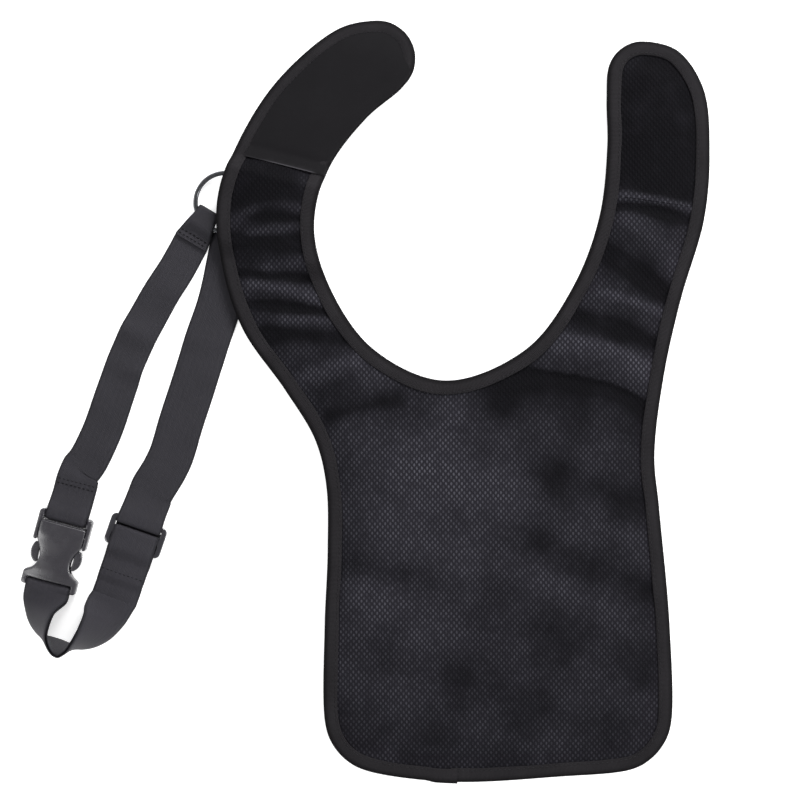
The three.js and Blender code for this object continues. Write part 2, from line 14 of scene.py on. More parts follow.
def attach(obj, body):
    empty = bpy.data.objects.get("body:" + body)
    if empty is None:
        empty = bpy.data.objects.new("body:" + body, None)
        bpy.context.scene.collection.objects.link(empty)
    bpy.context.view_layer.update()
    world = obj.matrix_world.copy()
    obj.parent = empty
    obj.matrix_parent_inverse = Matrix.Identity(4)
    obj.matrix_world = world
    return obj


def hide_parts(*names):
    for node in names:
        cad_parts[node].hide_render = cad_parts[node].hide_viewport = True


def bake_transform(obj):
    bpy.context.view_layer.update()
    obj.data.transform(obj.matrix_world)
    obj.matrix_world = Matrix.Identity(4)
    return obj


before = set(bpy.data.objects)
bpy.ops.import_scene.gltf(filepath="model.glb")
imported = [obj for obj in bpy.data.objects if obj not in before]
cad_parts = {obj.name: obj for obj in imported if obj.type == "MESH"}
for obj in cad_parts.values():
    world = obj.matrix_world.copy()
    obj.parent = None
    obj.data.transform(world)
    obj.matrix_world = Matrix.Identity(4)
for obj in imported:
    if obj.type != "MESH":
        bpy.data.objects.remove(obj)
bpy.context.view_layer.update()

# ---- Driving dimensions ----

LEFT_FOLD = {"at": (-57.0, 158.75), "slope": -0.25}
RIGHT_FOLD = {"at": (193.0, 132.5), "slope": -0.145}
FOLD_OF = {"left_tab": LEFT_FOLD, "right_tab": RIGHT_FOLD}
BETWEEN_ARMS_X = 90.0

# The left arm rides over the ring and the strap ends: distance below the left fold, rise.
ARM_RISE = [(-420, 0), (0, 0), (13, 6.8), (58, 6.8), (71, 1.6), (130, 1.6), (150, 0), (620, 0)]
RISE_ENDS_X = (-10.0, 25.0)

WEB_THICK = 1.3
GAP = 0.3
ON_FLOOR = WEB_THICK / 2
LAYER = WEB_THICK + GAP
AROUND = GAP + WEB_THICK / 2

RING = {"x": -93.7, "y": 132.3, "radius": 19.5, "wire": 1.6, "z": 3.2}
BUCKLE = (-204.6, -99.7, -15.0)
GLIDE = (-152.8, -89.0, -19.0)
RING_END = (-104.9, 125.1, -31.0)
TURN_START = (-167.4, -131.0, -20.0)
MALE = {
    "half": 17.9,
    "slot_half": 14.3,
    "slot_end": 19.35,
    "base": 13.0,
    "rail_end": 5.0,
    "bar": (22.4, 26.0),
}
FEMALE = {"half": 18.5, "slot_half": 15.1, "slot_end": -20.05, "mouth": 12.3, "bar": (-25.3, -23.1)}
BAR_BEND = 2.35  # how far the strap's bend stands off the buckle's bars
HOOD = {"half": 15.2, "end": 18.5, "low": 7.4}  # the female face's lip, which reaches over the male base
BAR_Z = (3.2, 6.4)
PRONG_X = 12.4
PRONG_THICK = 2.2
PRONG_ROOT = 12.45
PRONG_Z = (3.05, 6.9)
GLIDE_SIZE = (38.6, 21.0)
GLIDE_SLOT = (31.25, 5.5)
GLIDE_BAR = 4.0
GLIDE_Z = (3.2, 5.6)
LOOP_WIDTH = 31.0
OFF_FLOOR = 0.25  # how far the loop's leaning edge stays above the floor


# ---- Small helpers ----


def smooth(t):
    """Eases from 0 to 1 as t goes from 0 to 1."""
    t = np.clip(t, 0, 1)
    return t * t * (3 - 2 * t)


def bell(distance, width):
    """1 where distance is 0, fading out over a width on either side."""
    return np.exp(-((distance / width) ** 2))


def mesh_object(name, points, faces, attributes=None):
    """A smooth-shaded mesh from points in millimetres, with named per-point vectors for the materials."""
    mesh = bpy.data.meshes.new(name)
    mesh.from_pydata((np.asarray(points) * 0.001).tolist(), [], faces)
    mesh.validate()
    for key, values in {"rest": points, **(attributes or {})}.items():
        layer = mesh.attributes.new(key, "FLOAT_VECTOR", "POINT")
        layer.data.foreach_set("vector", np.asarray(values, np.float32).ravel())
    mesh.shade_smooth()
    obj = bpy.data.objects.new(name, mesh)
    bpy.context.scene.collection.objects.link(obj)
    return obj


def sharp_edges(obj, degrees):
    obj.data.set_sharp_from_angle(angle=math.radians(degrees))
    return obj


def unit(vectors):
    return vectors / np.maximum(np.linalg.norm(vectors, axis=-1, keepdims=True), 1e-9)


def tree_of(points):
    """A search tree of points in plan."""
    tree = kdtree.KDTree(len(points))
    for i, (x, y) in enumerate(points):
        tree.insert((x, y, 0), i)
    tree.balance()
    return tree


def catmull_rom(points, closed, steps):
    """A centripetal curve through points, with the same number of steps between each two."""
    points = np.asarray(points, float)
    if closed:
        points = np.concatenate([points[-1:], points, points[:2]])
    else:
        points = np.concatenate([2 * points[:1] - points[1:2], points, 2 * points[-1:] - points[-2:-1]])
    made = []
    for p0, p1, p2, p3 in zip(points, points[1:], points[2:], points[3:]):
        d0, d1, d2 = (max(np.linalg.norm(b - a), 1e-6) ** 0.5 for a, b in ((p0, p1), (p1, p2), (p2, p3)))
        m1 = ((p1 - p0) / d0 - (p2 - p0) / (d0 + d1) + (p2 - p1) / d1) * d1
        m2 = ((p2 - p1) / d1 - (p3 - p1) / (d1 + d2) + (p3 - p2) / d2) * d1
        t = (np.arange(steps) / steps)[:, None]
        made.append(p1 + m1 * t + (3 * (p2 - p1) - 2 * m1 - m2) * t**2 + (2 * (p1 - p2) + m1 + m2) * t**3)
    return np.concatenate(made if closed else [*made, points[-2:-1]])


def lengths_along(points):
    """The distance along a line of points at each of them."""
    return np.concatenate([[0], np.cumsum(np.linalg.norm(np.diff(points, axis=0), axis=1))])


def evenly(points, step):
    """An open line of points spaced again, about step apart."""
    along = lengths_along(points)
    places = np.linspace(0, along[-1], max(2, round(along[-1] / step) + 1))
    return np.stack([np.interp(places, along, points[:, k]) for k in range(points.shape[1])], 1)


def evenly_closed(loop, step):
    """A closed loop of points spaced again, about step apart."""
    return evenly(np.concatenate([loop, loop[:1]]), step)[:-1]


def inward_of(loop):
    """The direction to the left at each point of a closed loop: inward, if it runs anticlockwise."""
    along = unit(np.roll(loop, -1, axis=0) - np.roll(loop, 1, axis=0))
    return np.stack([-along[:, 1], along[:, 0]], 1)


# ---- Outline of the panel ----


def arc(x, y, radius, start, end, steps):
    angles = np.radians(start + (end - start) * np.arange(steps + 1) / steps)
    return [(x + radius * math.cos(a), y + radius * math.sin(a)) for a in angles]


OUTLINE_POINTS = [
    *arc(11, -208.5, 38.5, 188, 255, 3),
    *[(56, -252.9), (127, -249.6)],
    *arc(165, -208, 38.5, 288, 352, 3),
    *[(202, -148), (195, -70), (192, -36), (198, 16), (209.5, 68), (225, 121), (228.7, 165)],
    *[(224.5, 208), (207, 233.5)],
    *arc(184, 216, 23.5, 90, 165, 3),
    *[(160, 200), (160.5, 170), (155, 122), (137, 75), (106, 34.5), (53, 14), (5.5, 34.5)],
    *[(-23, 74), (-34, 114.5), (-25, 154), (0, 188)],
    *arc(7.5, 228, 25.5, -50, 100, 5),
    *[(-19, 247.5), (-58, 214.5), (-84, 174.5), (-98, 135), (-96, 93), (-82, 48.5), (-54, 8)],
    *[(-34, -25), (-26.5, -55), (-25.5, -100), (-27.5, -150)],
]


def closed_outline(step):
    """The panel's edge as points step apart, anticlockwise, and the inward direction at each."""
    edge = evenly_closed(catmull_rom(OUTLINE_POINTS, True, 60), step)
    return edge, inward_of(edge)


EDGE, INWARD = closed_outline(0.9)
EDGE_TREE = tree_of(EDGE)


def from_edge(points):
    """How far points are inside the panel's edge."""
    return np.array([EDGE_TREE.find((p[0], p[1], 0))[2] for p in points])


def above_fold(points, fold):
    """How far points are past a fold line, towards the tab's tip."""
    normal = np.array([-fold["slope"], 1]) / math.hypot(fold["slope"], 1)
    return (np.asarray(points)[:, :2] - fold["at"]) @ normal


def in_tab(points, margin):
    """True for the points more than margin past each fold, towards the tips: (left tab, right tab)."""
    x = np.asarray(points)[:, 0]
    left = (above_fold(points, LEFT_FOLD) > margin) & (x < BETWEEN_ARMS_X)
    right = (above_fold(points, RIGHT_FOLD) > margin) & (x > BETWEEN_ARMS_X)
    return left, right


def cut_polygon(polygon, fold, keep_tab, gap, clear):
    """The part of a polygon on one side of a fold, cut on that fold's arm only.

    The cut edge lies gap past the line. clear counts as the distance of points on the other arm.
    """
    sign = 1 if keep_tab else -1
    arm = (polygon[:, 0] < BETWEEN_ARMS_X) == (fold["at"][0] < BETWEEN_ARMS_X)
    side = np.where(arm, sign * above_fold(polygon, fold) - gap, -1.0 if keep_tab else clear)
    made = []
    for a, b, sa, sb in zip(polygon, np.roll(polygon, -1, axis=0), side, np.roll(side, -1)):
        if sa >= 0:
            made.append(a)
        if (sa >= 0) != (sb >= 0):
            made.append(a + (b - a) * sa / (sa - sb))
    return np.array(made)


def zone(name, depth):
    """The panel's outline, set in by depth, cut to "body", "left_tab" or "right_tab"."""
    polygon = EDGE + INWARD * depth
    gap = 0.15
    far = 50.0
    if name in FOLD_OF:
        return cut_polygon(polygon, FOLD_OF[name], True, gap, far)
    polygon = cut_polygon(polygon, LEFT_FOLD, False, gap, far)
    return cut_polygon(polygon, RIGHT_FOLD, False, gap, far)


def signed_area(loop):
    """A closed loop's area, above 0 if it runs anticlockwise."""
    x, y = loop[:, 0], loop[:, 1]
    return float(x @ np.roll(y, -1) - y @ np.roll(x, -1)) / 2


def inside(points, loops):
    """True for points inside an odd number of closed loops."""
    result = np.zeros(len(points), bool)
    batch = 4000  # points at a time, so that the tables stay small
    for loop in loops:
        a, b = loop, np.roll(loop, -1, axis=0)
        for start in range(0, len(points), batch):
            x, y = points[start : start + batch, :1], points[start : start + batch, 1:]
            spans = (a[:, 1] > y) != (b[:, 1] > y)
            climb = np.where(b[:, 1] == a[:, 1], 1e-9, b[:, 1] - a[:, 1])
            crosses = spans & (x < a[:, 0] + (y - a[:, 1]) * (b[:, 0] - a[:, 0]) / climb)
            result[start : start + batch] ^= crosses.sum(1) % 2 == 1
    return result


# ---- Slabs: closed pieces between two heights over an outline ----


def loop_distance(points, loops):
    """How far points are from the nearest corner of any loop."""
    tree = tree_of(np.concatenate(loops))
    return np.array([tree.find((p[0], p[1], 0))[2] for p in points])


def triangulated(loops, spacing, insets=()):
    """Points and triangles that fill the first loop and leave the others open."""
    low, high = loops[0].min(0), loops[0].max(0)
    across = np.arange(low[0], high[0], spacing)
    rows = []
    for i, y in enumerate(np.arange(low[1], high[1], spacing * 0.866)):
        rows.append(np.column_stack([across + (i % 2) * spacing / 2, np.full(len(across), y)]))
    grid = np.concatenate(rows)
    grid = grid[inside(grid, loops)]
    reach = max(insets, default=0) + spacing * 0.6
    grid = grid[loop_distance(grid, loops) > reach]
    extra = [grid]
    for inset in insets:
        for number, loop in enumerate(loops):
            side = 1 if (signed_area(loop) > 0) == (number == 0) else -1
            ring = loop + side * inset * inward_of(loop)
            ring = ring[inside(ring, loops)]
            extra.append(ring[loop_distance(ring, loops) > inset * 0.93])
    points = np.concatenate([*loops, *extra])
    edges = []
    start = 0
    for loop in loops:
        count = len(loop)
        edges += [(start + i, start + (i + 1) % count) for i in range(count)]
        start += count
    made = delaunay_2d_cdt([Vector(p) for p in points], edges, [], 0, 1e-5)
    corners = np.array([tuple(v) for v in made[0]])
    triangles = np.array([f for f in made[2] if len(f) == 3])
    triangles = triangles[inside(corners[triangles].mean(1), loops)]
    used = np.unique(triangles)
    places = np.full(len(corners), -1)
    places[used] = np.arange(len(used))
    return corners[used], places[triangles]


def slab(name, loops, heights, spacing, insets=(), place=None):
    """A closed piece over an outline, in a place's own frame if one is given.

    heights(points) gives its lower and upper surface.
    """
    corners, triangles = triangulated(loops, spacing, insets)
    low, high = heights(corners)
    count = len(corners)
    points = np.concatenate([np.column_stack([corners, high]), np.column_stack([corners, low])])
    if place:
        points = np.array([place(*p) for p in points])
    faces = [tuple(t) for t in triangles.tolist()]
    faces += [(a + count, c + count, b + count) for a, b, c in triangles.tolist()]
    directed = {}  # used as a set that keeps its order
    for a, b, c in triangles.tolist():
        directed |= {(a, b): True, (b, c): True, (c, a): True}
    for a, b in directed:
        if (b, a) not in directed:
            faces.append((a + count, b + count, b, a))
    return mesh_object(name, points, faces)


# ---- Materials ----


def rgba(color):
    return (*color, 1) if isinstance(color, tuple) else color


class Shader:
    """A node material that ends in one Principled shader."""

    def __init__(self, name):
        self.material = bpy.data.materials.new(name)
        self.material.use_nodes = True
        self.tree = self.material.node_tree
        self.tree.nodes.clear()
        output = self.tree.nodes.new("ShaderNodeOutputMaterial")
        self.principled = self.tree.nodes.new("ShaderNodeBsdfPrincipled")
        self.tree.links.new(self.principled.outputs[0], output.inputs[0])

    def feed(self, node, inputs):
        """Sets a node's inputs, by number or name, to values or to other nodes' outputs."""
        for key, value in inputs:
            if isinstance(value, bpy.types.NodeSocket):
                self.tree.links.new(value, node.inputs[key])
            else:
                node.inputs[key].default_value = value

    def node(self, kind, inputs=(), **settings):
        made = self.tree.nodes.new(f"ShaderNode{kind}")
        for name, value in settings.items():
            setattr(made, name, value)
        self.feed(made, inputs)
        return made

    def math(self, operation, *values):
        return self.node("Math", enumerate(values), operation=operation).outputs[0]

    def vector(self, name):
        return self.node("Attribute", attribute_name=name).outputs["Vector"]

    def factor(self, name):
        return self.node("Attribute", attribute_name=name).outputs["Fac"]

    def parts(self, vector):
        return self.node("SeparateXYZ", [(0, vector)]).outputs

    def joined(self, x, y, z):
        return self.node("CombineXYZ", enumerate((x, y, z))).outputs[0]

    def noise(self, vector, scale, detail=3.0):
        inputs = [("Vector", vector), ("Scale", scale), ("Detail", detail)]
        return self.node("TexNoise", inputs).outputs[0]

    def ranged(self, value, low, high, to_low, to_high, kind="SMOOTHSTEP"):
        inputs = enumerate((value, low, high, to_low, to_high))
        return self.node("MapRange", inputs, interpolation_type=kind).outputs[0]

    def wave(self, value, pitch):
        """A cosine ripple from 0 to 1 along value."""
        turns = self.math("MULTIPLY", value, 2 * math.pi / pitch)
        return self.math("MULTIPLY_ADD", self.math("COSINE", turns), 0.5, 0.5)

    def mixed(self, factor, first, second):
        inputs = [(0, factor), (6, rgba(first)), (7, rgba(second))]
        return self.node("Mix", inputs, data_type="RGBA").outputs[2]

    def finish(self, color, roughness, height=None, depth_mm=0.1, **settings):
        """Feeds the Principled shader, with bumps depth_mm deep if there is a height."""
        named = [(name.replace("_", " "), value) for name, value in settings.items()]
        self.feed(self.principled, [("Base Color", rgba(color)), ("Roughness", roughness), *named])
        if height is not None:
            bump = self.node("Bump", [("Distance", depth_mm * 0.001), ("Height", height)])
            self.feed(self.principled, [("Normal", bump.outputs[0])])
        return self.material


def dressed(obj, slot):
    """Gives a piece the material made here for one of the record's slots."""
    obj.data.materials.append(MATERIALS[slot])
    return obj


def mesh_cloth():
    """Air mesh: staggered small yarn ovals over dark openings."""
    s = Shader("air_mesh")
    rest = s.vector("rest")
    x, y, _ = s.parts(rest)
    waviness = s.noise(rest, 0.03, 2.0)
    x = s.math("MULTIPLY_ADD", waviness, 2.2, x)
    y = s.math("MULTIPLY_ADD", waviness, -1.6, y)
    pitch_x, pitch_y = 3.5, 4.1
    ovals = []
    for shift in (0.0, 0.5):
        fx = s.math("SUBTRACT", s.math("FRACT", s.math("ADD", s.math("DIVIDE", x, pitch_x), shift)), 0.5)
        fy = s.math("SUBTRACT", s.math("FRACT", s.math("ADD", s.math("DIVIDE", y, pitch_y), shift)), 0.5)
        fx = s.math("DIVIDE", fx, 0.27)
        fy = s.math("DIVIDE", fy, 0.36)
        far = s.math("SQRT", s.math("ADD", s.math("MULTIPLY", fx, fx), s.math("MULTIPLY", fy, fy)))
        ovals.append(s.ranged(far, 0.35, 1.0, 1.0, 0.0))
    oval = s.math("MAXIMUM", *ovals)
    clouds = s.noise(rest, 0.055, 4.0)
    # Painted light and shade from the stored attribute, with random cloudy tone: it lightens the yarns and
    # the openings.
    tone_and_painted_light = s.math("MULTIPLY_ADD", clouds, 0.44, s.math("SUBTRACT", s.factor("painted_light"), 0.22))
    patchy = s.ranged(s.noise(rest, 0.21, 3.0), 0.36, 0.62, 0.4, 1.0)
    lit = s.math("MULTIPLY", patchy, s.ranged(tone_and_painted_light, 0.08, 0.95, 0.02, 1.0, "LINEAR"))
    shown = s.math("MULTIPLY", oval, lit)
    plain = s.ranged(tone_and_painted_light, 0.0, 0.6, 0.0, 1.0, "LINEAR")
    ground = s.mixed(plain, (0.0034, 0.0032, 0.0042), (0.0150, 0.0142, 0.0184))
    color = s.mixed(shown, ground, (0.078, 0.077, 0.092))
    threads = s.noise(s.joined(s.math("MULTIPLY", x, 3.0), y, 0.0), 2.2, 2.0)
    height = s.math("MULTIPLY_ADD", threads, 0.25, oval)
    return s.finish(color, 0.7, height, 0.25, Specular_IOR_Level=0.04)


def woven_cloth(name, color, pitch, depth_mm, sheen, roughness):
    """Plain cloth with a fine weave and slow colour variation, and a painted highlight along a hem."""
    s = Shader(name)
    rest = s.vector("rest")
    x, y, _ = s.parts(rest)
    weave = s.math("MULTIPLY", s.wave(x, pitch), s.wave(y, pitch))
    cloudy = s.noise(rest, 0.05, 4.0)
    grain = s.noise(rest, 1.8, 2.0)
    dark = tuple(0.72 * c for c in color)
    light = tuple(1.3 * c for c in color)
    shade = s.mixed(s.math("MULTIPLY_ADD", grain, 0.4, s.math("MULTIPLY", cloudy, 0.6)), dark, light)
    # Painted highlight: the stored painted light mixes the cloth towards a lighter grey along the patch's
    # hem.
    shade = s.mixed(s.factor("painted_light"), shade, (0.060, 0.058, 0.064))
    height = s.math("MULTIPLY_ADD", grain, 0.6, weave)
    return s.finish(shade, roughness, height, depth_mm, Sheen_Weight=sheen, Specular_IOR_Level=0.06)


def webbing_cloth():
    """Flat webbing: fine ribs across, grouped in lengthwise twill lines, and a denser selvedge."""
    s = Shader("webbing")
    across, along, reach = s.parts(s.vector("weave"))
    slope = s.math("ABSOLUTE", s.math("SUBTRACT", s.math("FRACT", s.math("DIVIDE", across, 3.6)), 0.5))
    ribs = s.wave(s.math("MULTIPLY_ADD", slope, 1.5, along), 0.72)
    lines = s.wave(across, 0.9)
    edge = s.ranged(s.math("ABSOLUTE", reach), 0.88, 0.95, 0.0, 1.0)
    grain = s.noise(s.joined(across, s.math("MULTIPLY", along, 0.25), 0.0), 1.3, 3.0)
    cloudy = s.noise(s.vector("rest"), 0.035, 3.0)
    texture = s.math("MULTIPLY_ADD", grain, 0.35, s.math("MULTIPLY", cloudy, 0.35))
    shade = s.math("MULTIPLY_ADD", ribs, 0.3, texture)
    # Painted shade: the webbing is darker towards the top of the part, above y -50, than below y -110.
    shade = s.math("MULTIPLY", shade, s.ranged(s.parts(s.vector("rest"))[1], -110, -50, 1.0, 0.72))
    cloth = s.mixed(shade, (0.0118, 0.0112, 0.0140), (0.0420, 0.0400, 0.0490))
    color = s.mixed(s.math("MULTIPLY", edge, 0.55), cloth, (0.006, 0.006, 0.008))
    height = s.math("MULTIPLY_ADD", lines, 0.5, s.math("MULTIPLY_ADD", edge, 0.2, ribs))
    return s.finish(color, 0.6, height, 0.16, Sheen_Weight=0.02, Specular_IOR_Level=0.15)


def tape_cloth():
    """Binding tape: fine ribs across its length."""
    s = Shader("edge_tape")
    across, along, inward = s.parts(s.vector("weave"))
    ribs = s.wave(along, 0.85)
    grain = s.noise(s.joined(across, along, 0.0), 1.1, 3.0)
    cloudy = s.noise(s.vector("rest"), 0.04, 3.0)
    texture = s.math("MULTIPLY_ADD", grain, 0.35, s.math("MULTIPLY", cloudy, 0.4))
    shade = s.math("MULTIPLY_ADD", ribs, 0.25, texture)
    # Painted shade: the tape is darker within 4 mm of its turned outer edge.
    shade = s.math("MULTIPLY", shade, s.ranged(inward, 0.5, 4.0, 0.1, 1.0))
    color = s.mixed(shade, (0.0052, 0.0048, 0.0054), (0.0300, 0.0281, 0.0310))
    height = s.math("MULTIPLY_ADD", grain, 0.6, ribs)
    return s.finish(color, 0.7, height, 0.14, Specular_IOR_Level=0.03)


def thread(name, dark, light):
    """Twisted sewing thread."""
    s = Shader(name)
    twist = s.noise(s.vector("rest"), 2.5, 2.0)
    return s.finish(s.mixed(twist, dark, light), 0.6, twist, 0.08, Specular_IOR_Level=0.1)


def hook_cloth():
    """Hook tape: close rows of tiny stiff hooks."""
    s = Shader("hook_tape")
    x, y, _ = s.parts(s.vector("rest"))
    hooks = s.math("MULTIPLY", s.wave(x, 1.3), s.wave(y, 1.6))
    color = s.mixed(hooks, (0.006, 0.006, 0.0065), (0.024, 0.024, 0.026))
    return s.finish(color, 0.7, hooks, 0.3, Specular_IOR_Level=0.1)


def foam_stuff():
    s = Shader("foam")
    cells = s.noise(s.vector("rest"), 1.5, 4.0)
    color = s.mixed(cells, (0.020, 0.020, 0.021), (0.045, 0.045, 0.047))
    return s.finish(color, 0.95, cells, 0.3)


def plastic(name, color, roughness, fine):
    """Moulded plastic with a faint uneven gloss, and scuffs that lighten it."""
    s = Shader(name)
    rest = s.vector("rest")
    grain = s.noise(rest, fine, 3.0)
    cloudy = s.noise(rest, 0.12, 3.0)
    scuffs = s.ranged(s.noise(rest, 0.9, 6.0), 0.62, 0.74, 0.0, 0.5)
    light = tuple(1.5 * c for c in color)
    shade = s.mixed(s.math("MULTIPLY_ADD", cloudy, 0.4, scuffs), color, light)
    gloss = s.ranged(cloudy, 0.3, 0.7, roughness * 0.8, roughness * 1.25, "LINEAR")
    return s.finish(shade, gloss, grain, 0.02, Specular_IOR_Level=1.0)


def ring_steel():
    s = Shader("ring_steel")
    rest = s.vector("rest")
    wear = s.ranged(s.noise(rest, 0.5, 5.0), 0.55, 0.75, 0.0, 1.0)
    color = s.mixed(wear, (0.10, 0.103, 0.112), (0.20, 0.20, 0.21))
    gloss = s.ranged(wear, 0.0, 1.0, 0.16, 0.28, "LINEAR")
    return s.finish(color, gloss, s.noise(rest, 2.0, 2.0), 0.02, Metallic=0.9)


MATERIALS = {
    "mesh_cloth": mesh_cloth(),
    "shell_cloth": woven_cloth("shell_cloth", (0.012, 0.012, 0.014), 0.9, 0.10, 0.04, 0.7),
    "loop_cloth": woven_cloth("loop_cloth", (0.0078, 0.0073, 0.0084), 0.55, 0.04, 0.03, 0.6),
    "hook_tape": hook_cloth(),
    "foam": foam_stuff(),
    "edge_tape": tape_cloth(),
    "webbing": webbing_cloth(),
    "buckle_plastic": plastic("buckle_plastic", (0.0185, 0.0170, 0.0220), 0.26, 3.0),
    "slider_plastic": plastic("slider_plastic", (0.0150, 0.0145, 0.0190), 0.13, 2.0),
    "ring_steel": ring_steel(),
}
TAPE_THREAD = thread("tape_thread", (0.010, 0.0095, 0.011), (0.024, 0.023, 0.026))
STRAP_THREAD = thread("strap_thread", (0.0015, 0.0015, 0.002), (0.006, 0.006, 0.007))


# ---- Panel: how high each surface lies ----

# Soft folds across the cloth: corners of each fold's line, half-width above it and below it, height,
# and how much painted light or painted shade the mesh gets there.
FOLDS = [
    ([(-88, 119), (-66, 130), (-42, 127)], 4.0, 4.5, 0.8, 0.26),
    ([(-72, 121), (-42, 121)], 2.2, 2.4, -0.5, -0.22),
    ([(-74, 111), (-42, 116)], 3.2, 3.0, 0.45, 0.24),
    ([(-89, 107), (-41, 104)], 5.0, 5.5, -0.6, -0.30),
    ([(-50, 105), (-42, 103)], 2.4, 2.4, 0.25, 0.22),
    ([(-64, 89), (-40, 91)], 4.6, 4.2, 0.6, 0.34),
    ([(-84, 85), (-38, 82)], 2.6, 3.4, -0.8, -0.32),
    ([(-76, 77), (-53, 74), (-29, 68)], 4.8, 3.6, 1.1, 0.50),
    ([(-79, 66), (-46, 63), (-24, 59)], 2.0, 4.6, -1.3, -0.52),
    ([(-56, 54), (-20, 55)], 3.6, 3.6, 0.5, 0.28),
    ([(-66, 46), (-16, 43)], 5.0, 7.5, -0.8, -0.32),
    ([(-48, 13), (-5, 28)], 6.0, 6.5, 0.7, 0.30),
    ([(-24, -10), (20, 2)], 5.0, 7.0, -0.5, -0.20),
    ([(163, 138), (191, 134), (221, 127)], 2.6, 2.6, 0.9, 0.50),
    ([(163, 131), (191, 127.5), (217, 120)], 2.0, 4.6, -1.1, -0.42),
    ([(172, 121), (192, 108), (206, 88)], 9.0, 7.0, 0.55, 0.20),
    ([(156, 103), (179, 87), (202, 69)], 6.0, 8.0, -1.0, -0.36),
    ([(160, 71), (179, 65.5), (200, 57)], 3.2, 3.2, 0.75, 0.38),
    ([(138, 58), (162, 52), (190, 39)], 5.5, 6.5, -0.65, -0.26),
    ([(124, 43), (145, 40), (164, 35), (192, 20)], 3.6, 10.0, 1.2, 0.46),
    ([(104, 21), (145, 14), (168, 8), (188, -3)], 1.8, 8.0, -1.4, -0.60),
    ([(60, -12), (150, -50)], 11.0, 11.0, 0.40, 0.10),
    ([(102, -29), (184, -70)], 8.0, 12.0, -0.45, -0.13),
    ([(20, -40), (110, -62)], 13.0, 13.0, 0.40, 0.08),
    ([(112, -90), (190, -126)], 8.0, 12.0, -0.40, -0.12),
    ([(90, -104), (170, -146)], 11.0, 11.0, 0.35, 0.12),
    ([(-16, -108), (58, -120)], 8.0, 12.0, -0.40, -0.12),
    ([(-10, -126), (100, -138)], 11.0, 11.0, 0.35, 0.10),
    ([(10, -172), (84, -192)], 9.0, 12.0, -0.35, -0.08),
    ([(120, -170), (180, -200)], 12.0, 12.0, 0.35, 0.04),
]


def rise(points):
    """How far the panel is lifted over the ring and the strap ends."""
    below = -above_fold(points, LEFT_FOLD)
    x = points[:, 0]
    lifted = np.zeros(len(points))
    for (d0, r0), (d1, r1) in zip(ARM_RISE, ARM_RISE[1:]):
        span = (below >= d0) & (below < d1)
        lifted[span] = r0 + (r1 - r0) * smooth((below[span] - d0) / (d1 - d0))
    return lifted * (1 - smooth((x - RISE_ENDS_X[0]) / (RISE_ENDS_X[1] - RISE_ENDS_X[0])))


def fold_shape(points, line, above, below):
    """From 0 to 1: how near a fold's line, with its own softness on either side."""
    line = evenly(catmull_rom(np.array(line, float), False, 10), 1.5)
    tree = tree_of(line)
    along = unit(np.gradient(line, axis=0))
    nearest = np.array([tree.find((x, y, 0))[1] for x, y in points])
    away = points - line[nearest]
    side = along[nearest][:, 0] * away[:, 1] - along[nearest][:, 1] * away[:, 0]
    past_end = np.abs(np.sum(along[nearest] * away, axis=1))
    width = np.where(side > 0, above, below)
    return np.exp(-((side / width) ** 2) - (past_end / 6.0) ** 2)


def creased(points):
    """The cloth's own folds and slow waves."""
    x, y = points[:, 0], points[:, 1]
    height = 0.35 * np.sin(x / 17 + y / 41 + 1.3) * np.sin(y / 23 - x / 60)
    height += 0.22 * np.sin(x / 7.3 - y / 11 + 0.6) * np.sin(y / 9.1 + x / 19)
    for line, above, below, high, _ in FOLDS:
        height += high * fold_shape(points, line, above, below)
    return height


# Where the bib's mesh gets painted light or painted shade: x, y, radius, change.
PAINTED_LIGHT_SPOTS = [
    (49, -52, 62, 0.42),
    (20, -160, 55, 0.22),
    (156, -99, 32, 0.16),
    (193, 185, 46, -0.50),
    (139, -190, 40, 0.04),
    (-64, 146, 22, -0.45),
    (-66, 100, 34, -0.12),
    (90, 2, 26, -0.30),
    (30, 2, 22, -0.15),
    (128, -55, 16, -0.15),
]


def painted_light(points):
    """From 0 to 1: the painted light and shade on the mesh, which lightens its yarns and openings."""
    x, y = points[:, 0], points[:, 1]
    value = 0.24 + 0.1 * np.sin(x / 13 + y / 29) * np.sin(y / 12 - x / 31)
    for line, above, below, _, light in FOLDS:
        value += light * fold_shape(points, line, above, below)
    for cx, cy, radius, change in PAINTED_LIGHT_SPOTS:
        value += change * np.exp(-((x - cx) ** 2 + (y - cy) ** 2) / radius**2)
    return np.clip(value, 0, 1)


LINING_AT_TAPE = 4.2
LINING_LOWEST = 3.9
LINING_PADDING = 1.9
LINING_THICK = 0.7
FOAM_CLEAR = 0.15
SHELL_AT_TAPE = 1.1
SHELL_SAG = 0.75
SHELL_THICK = 0.5


def lining_top(points):
    """The upper face of the mesh lining: thin at the tape, padded inside it."""
    depth = from_edge(points)
    padding = LINING_PADDING * smooth((depth - 6.5) / 18)
    free = smooth((depth - 7) / 9)
    top = LINING_AT_TAPE + padding + rise(points) + creased(points) * (0.25 + 0.75 * free)
    return np.maximum(top, LINING_LOWEST + rise(points))


def lining_heights(points):
    top = lining_top(points)
    return top - LINING_THICK, top


def shell_low(points):
    """The under face of the shell: it sags between the taped edges, except over the ring."""
    sag = SHELL_SAG * smooth((from_edge(points) - 8) / 14)
    lifted = rise(points)
    return SHELL_AT_TAPE + lifted - sag * (1 - smooth(lifted / 3))


def shell_heights(points):
    low = shell_low(points)
    return low, low + SHELL_THICK


def foam_heights(points):
    return shell_low(points) + SHELL_THICK + FOAM_CLEAR, lining_top(points) - LINING_THICK - FOAM_CLEAR


def follow(obj, part):
    """Fixes a panel piece to the harness; a tab's piece only has its transform baked into its mesh."""
    if part in FOLD_OF:
        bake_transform(obj)
    else:
        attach(obj, "harness")


PART_NODES = {"body": "panel", "left_tab": "left_tab", "right_tab": "right_tab"}


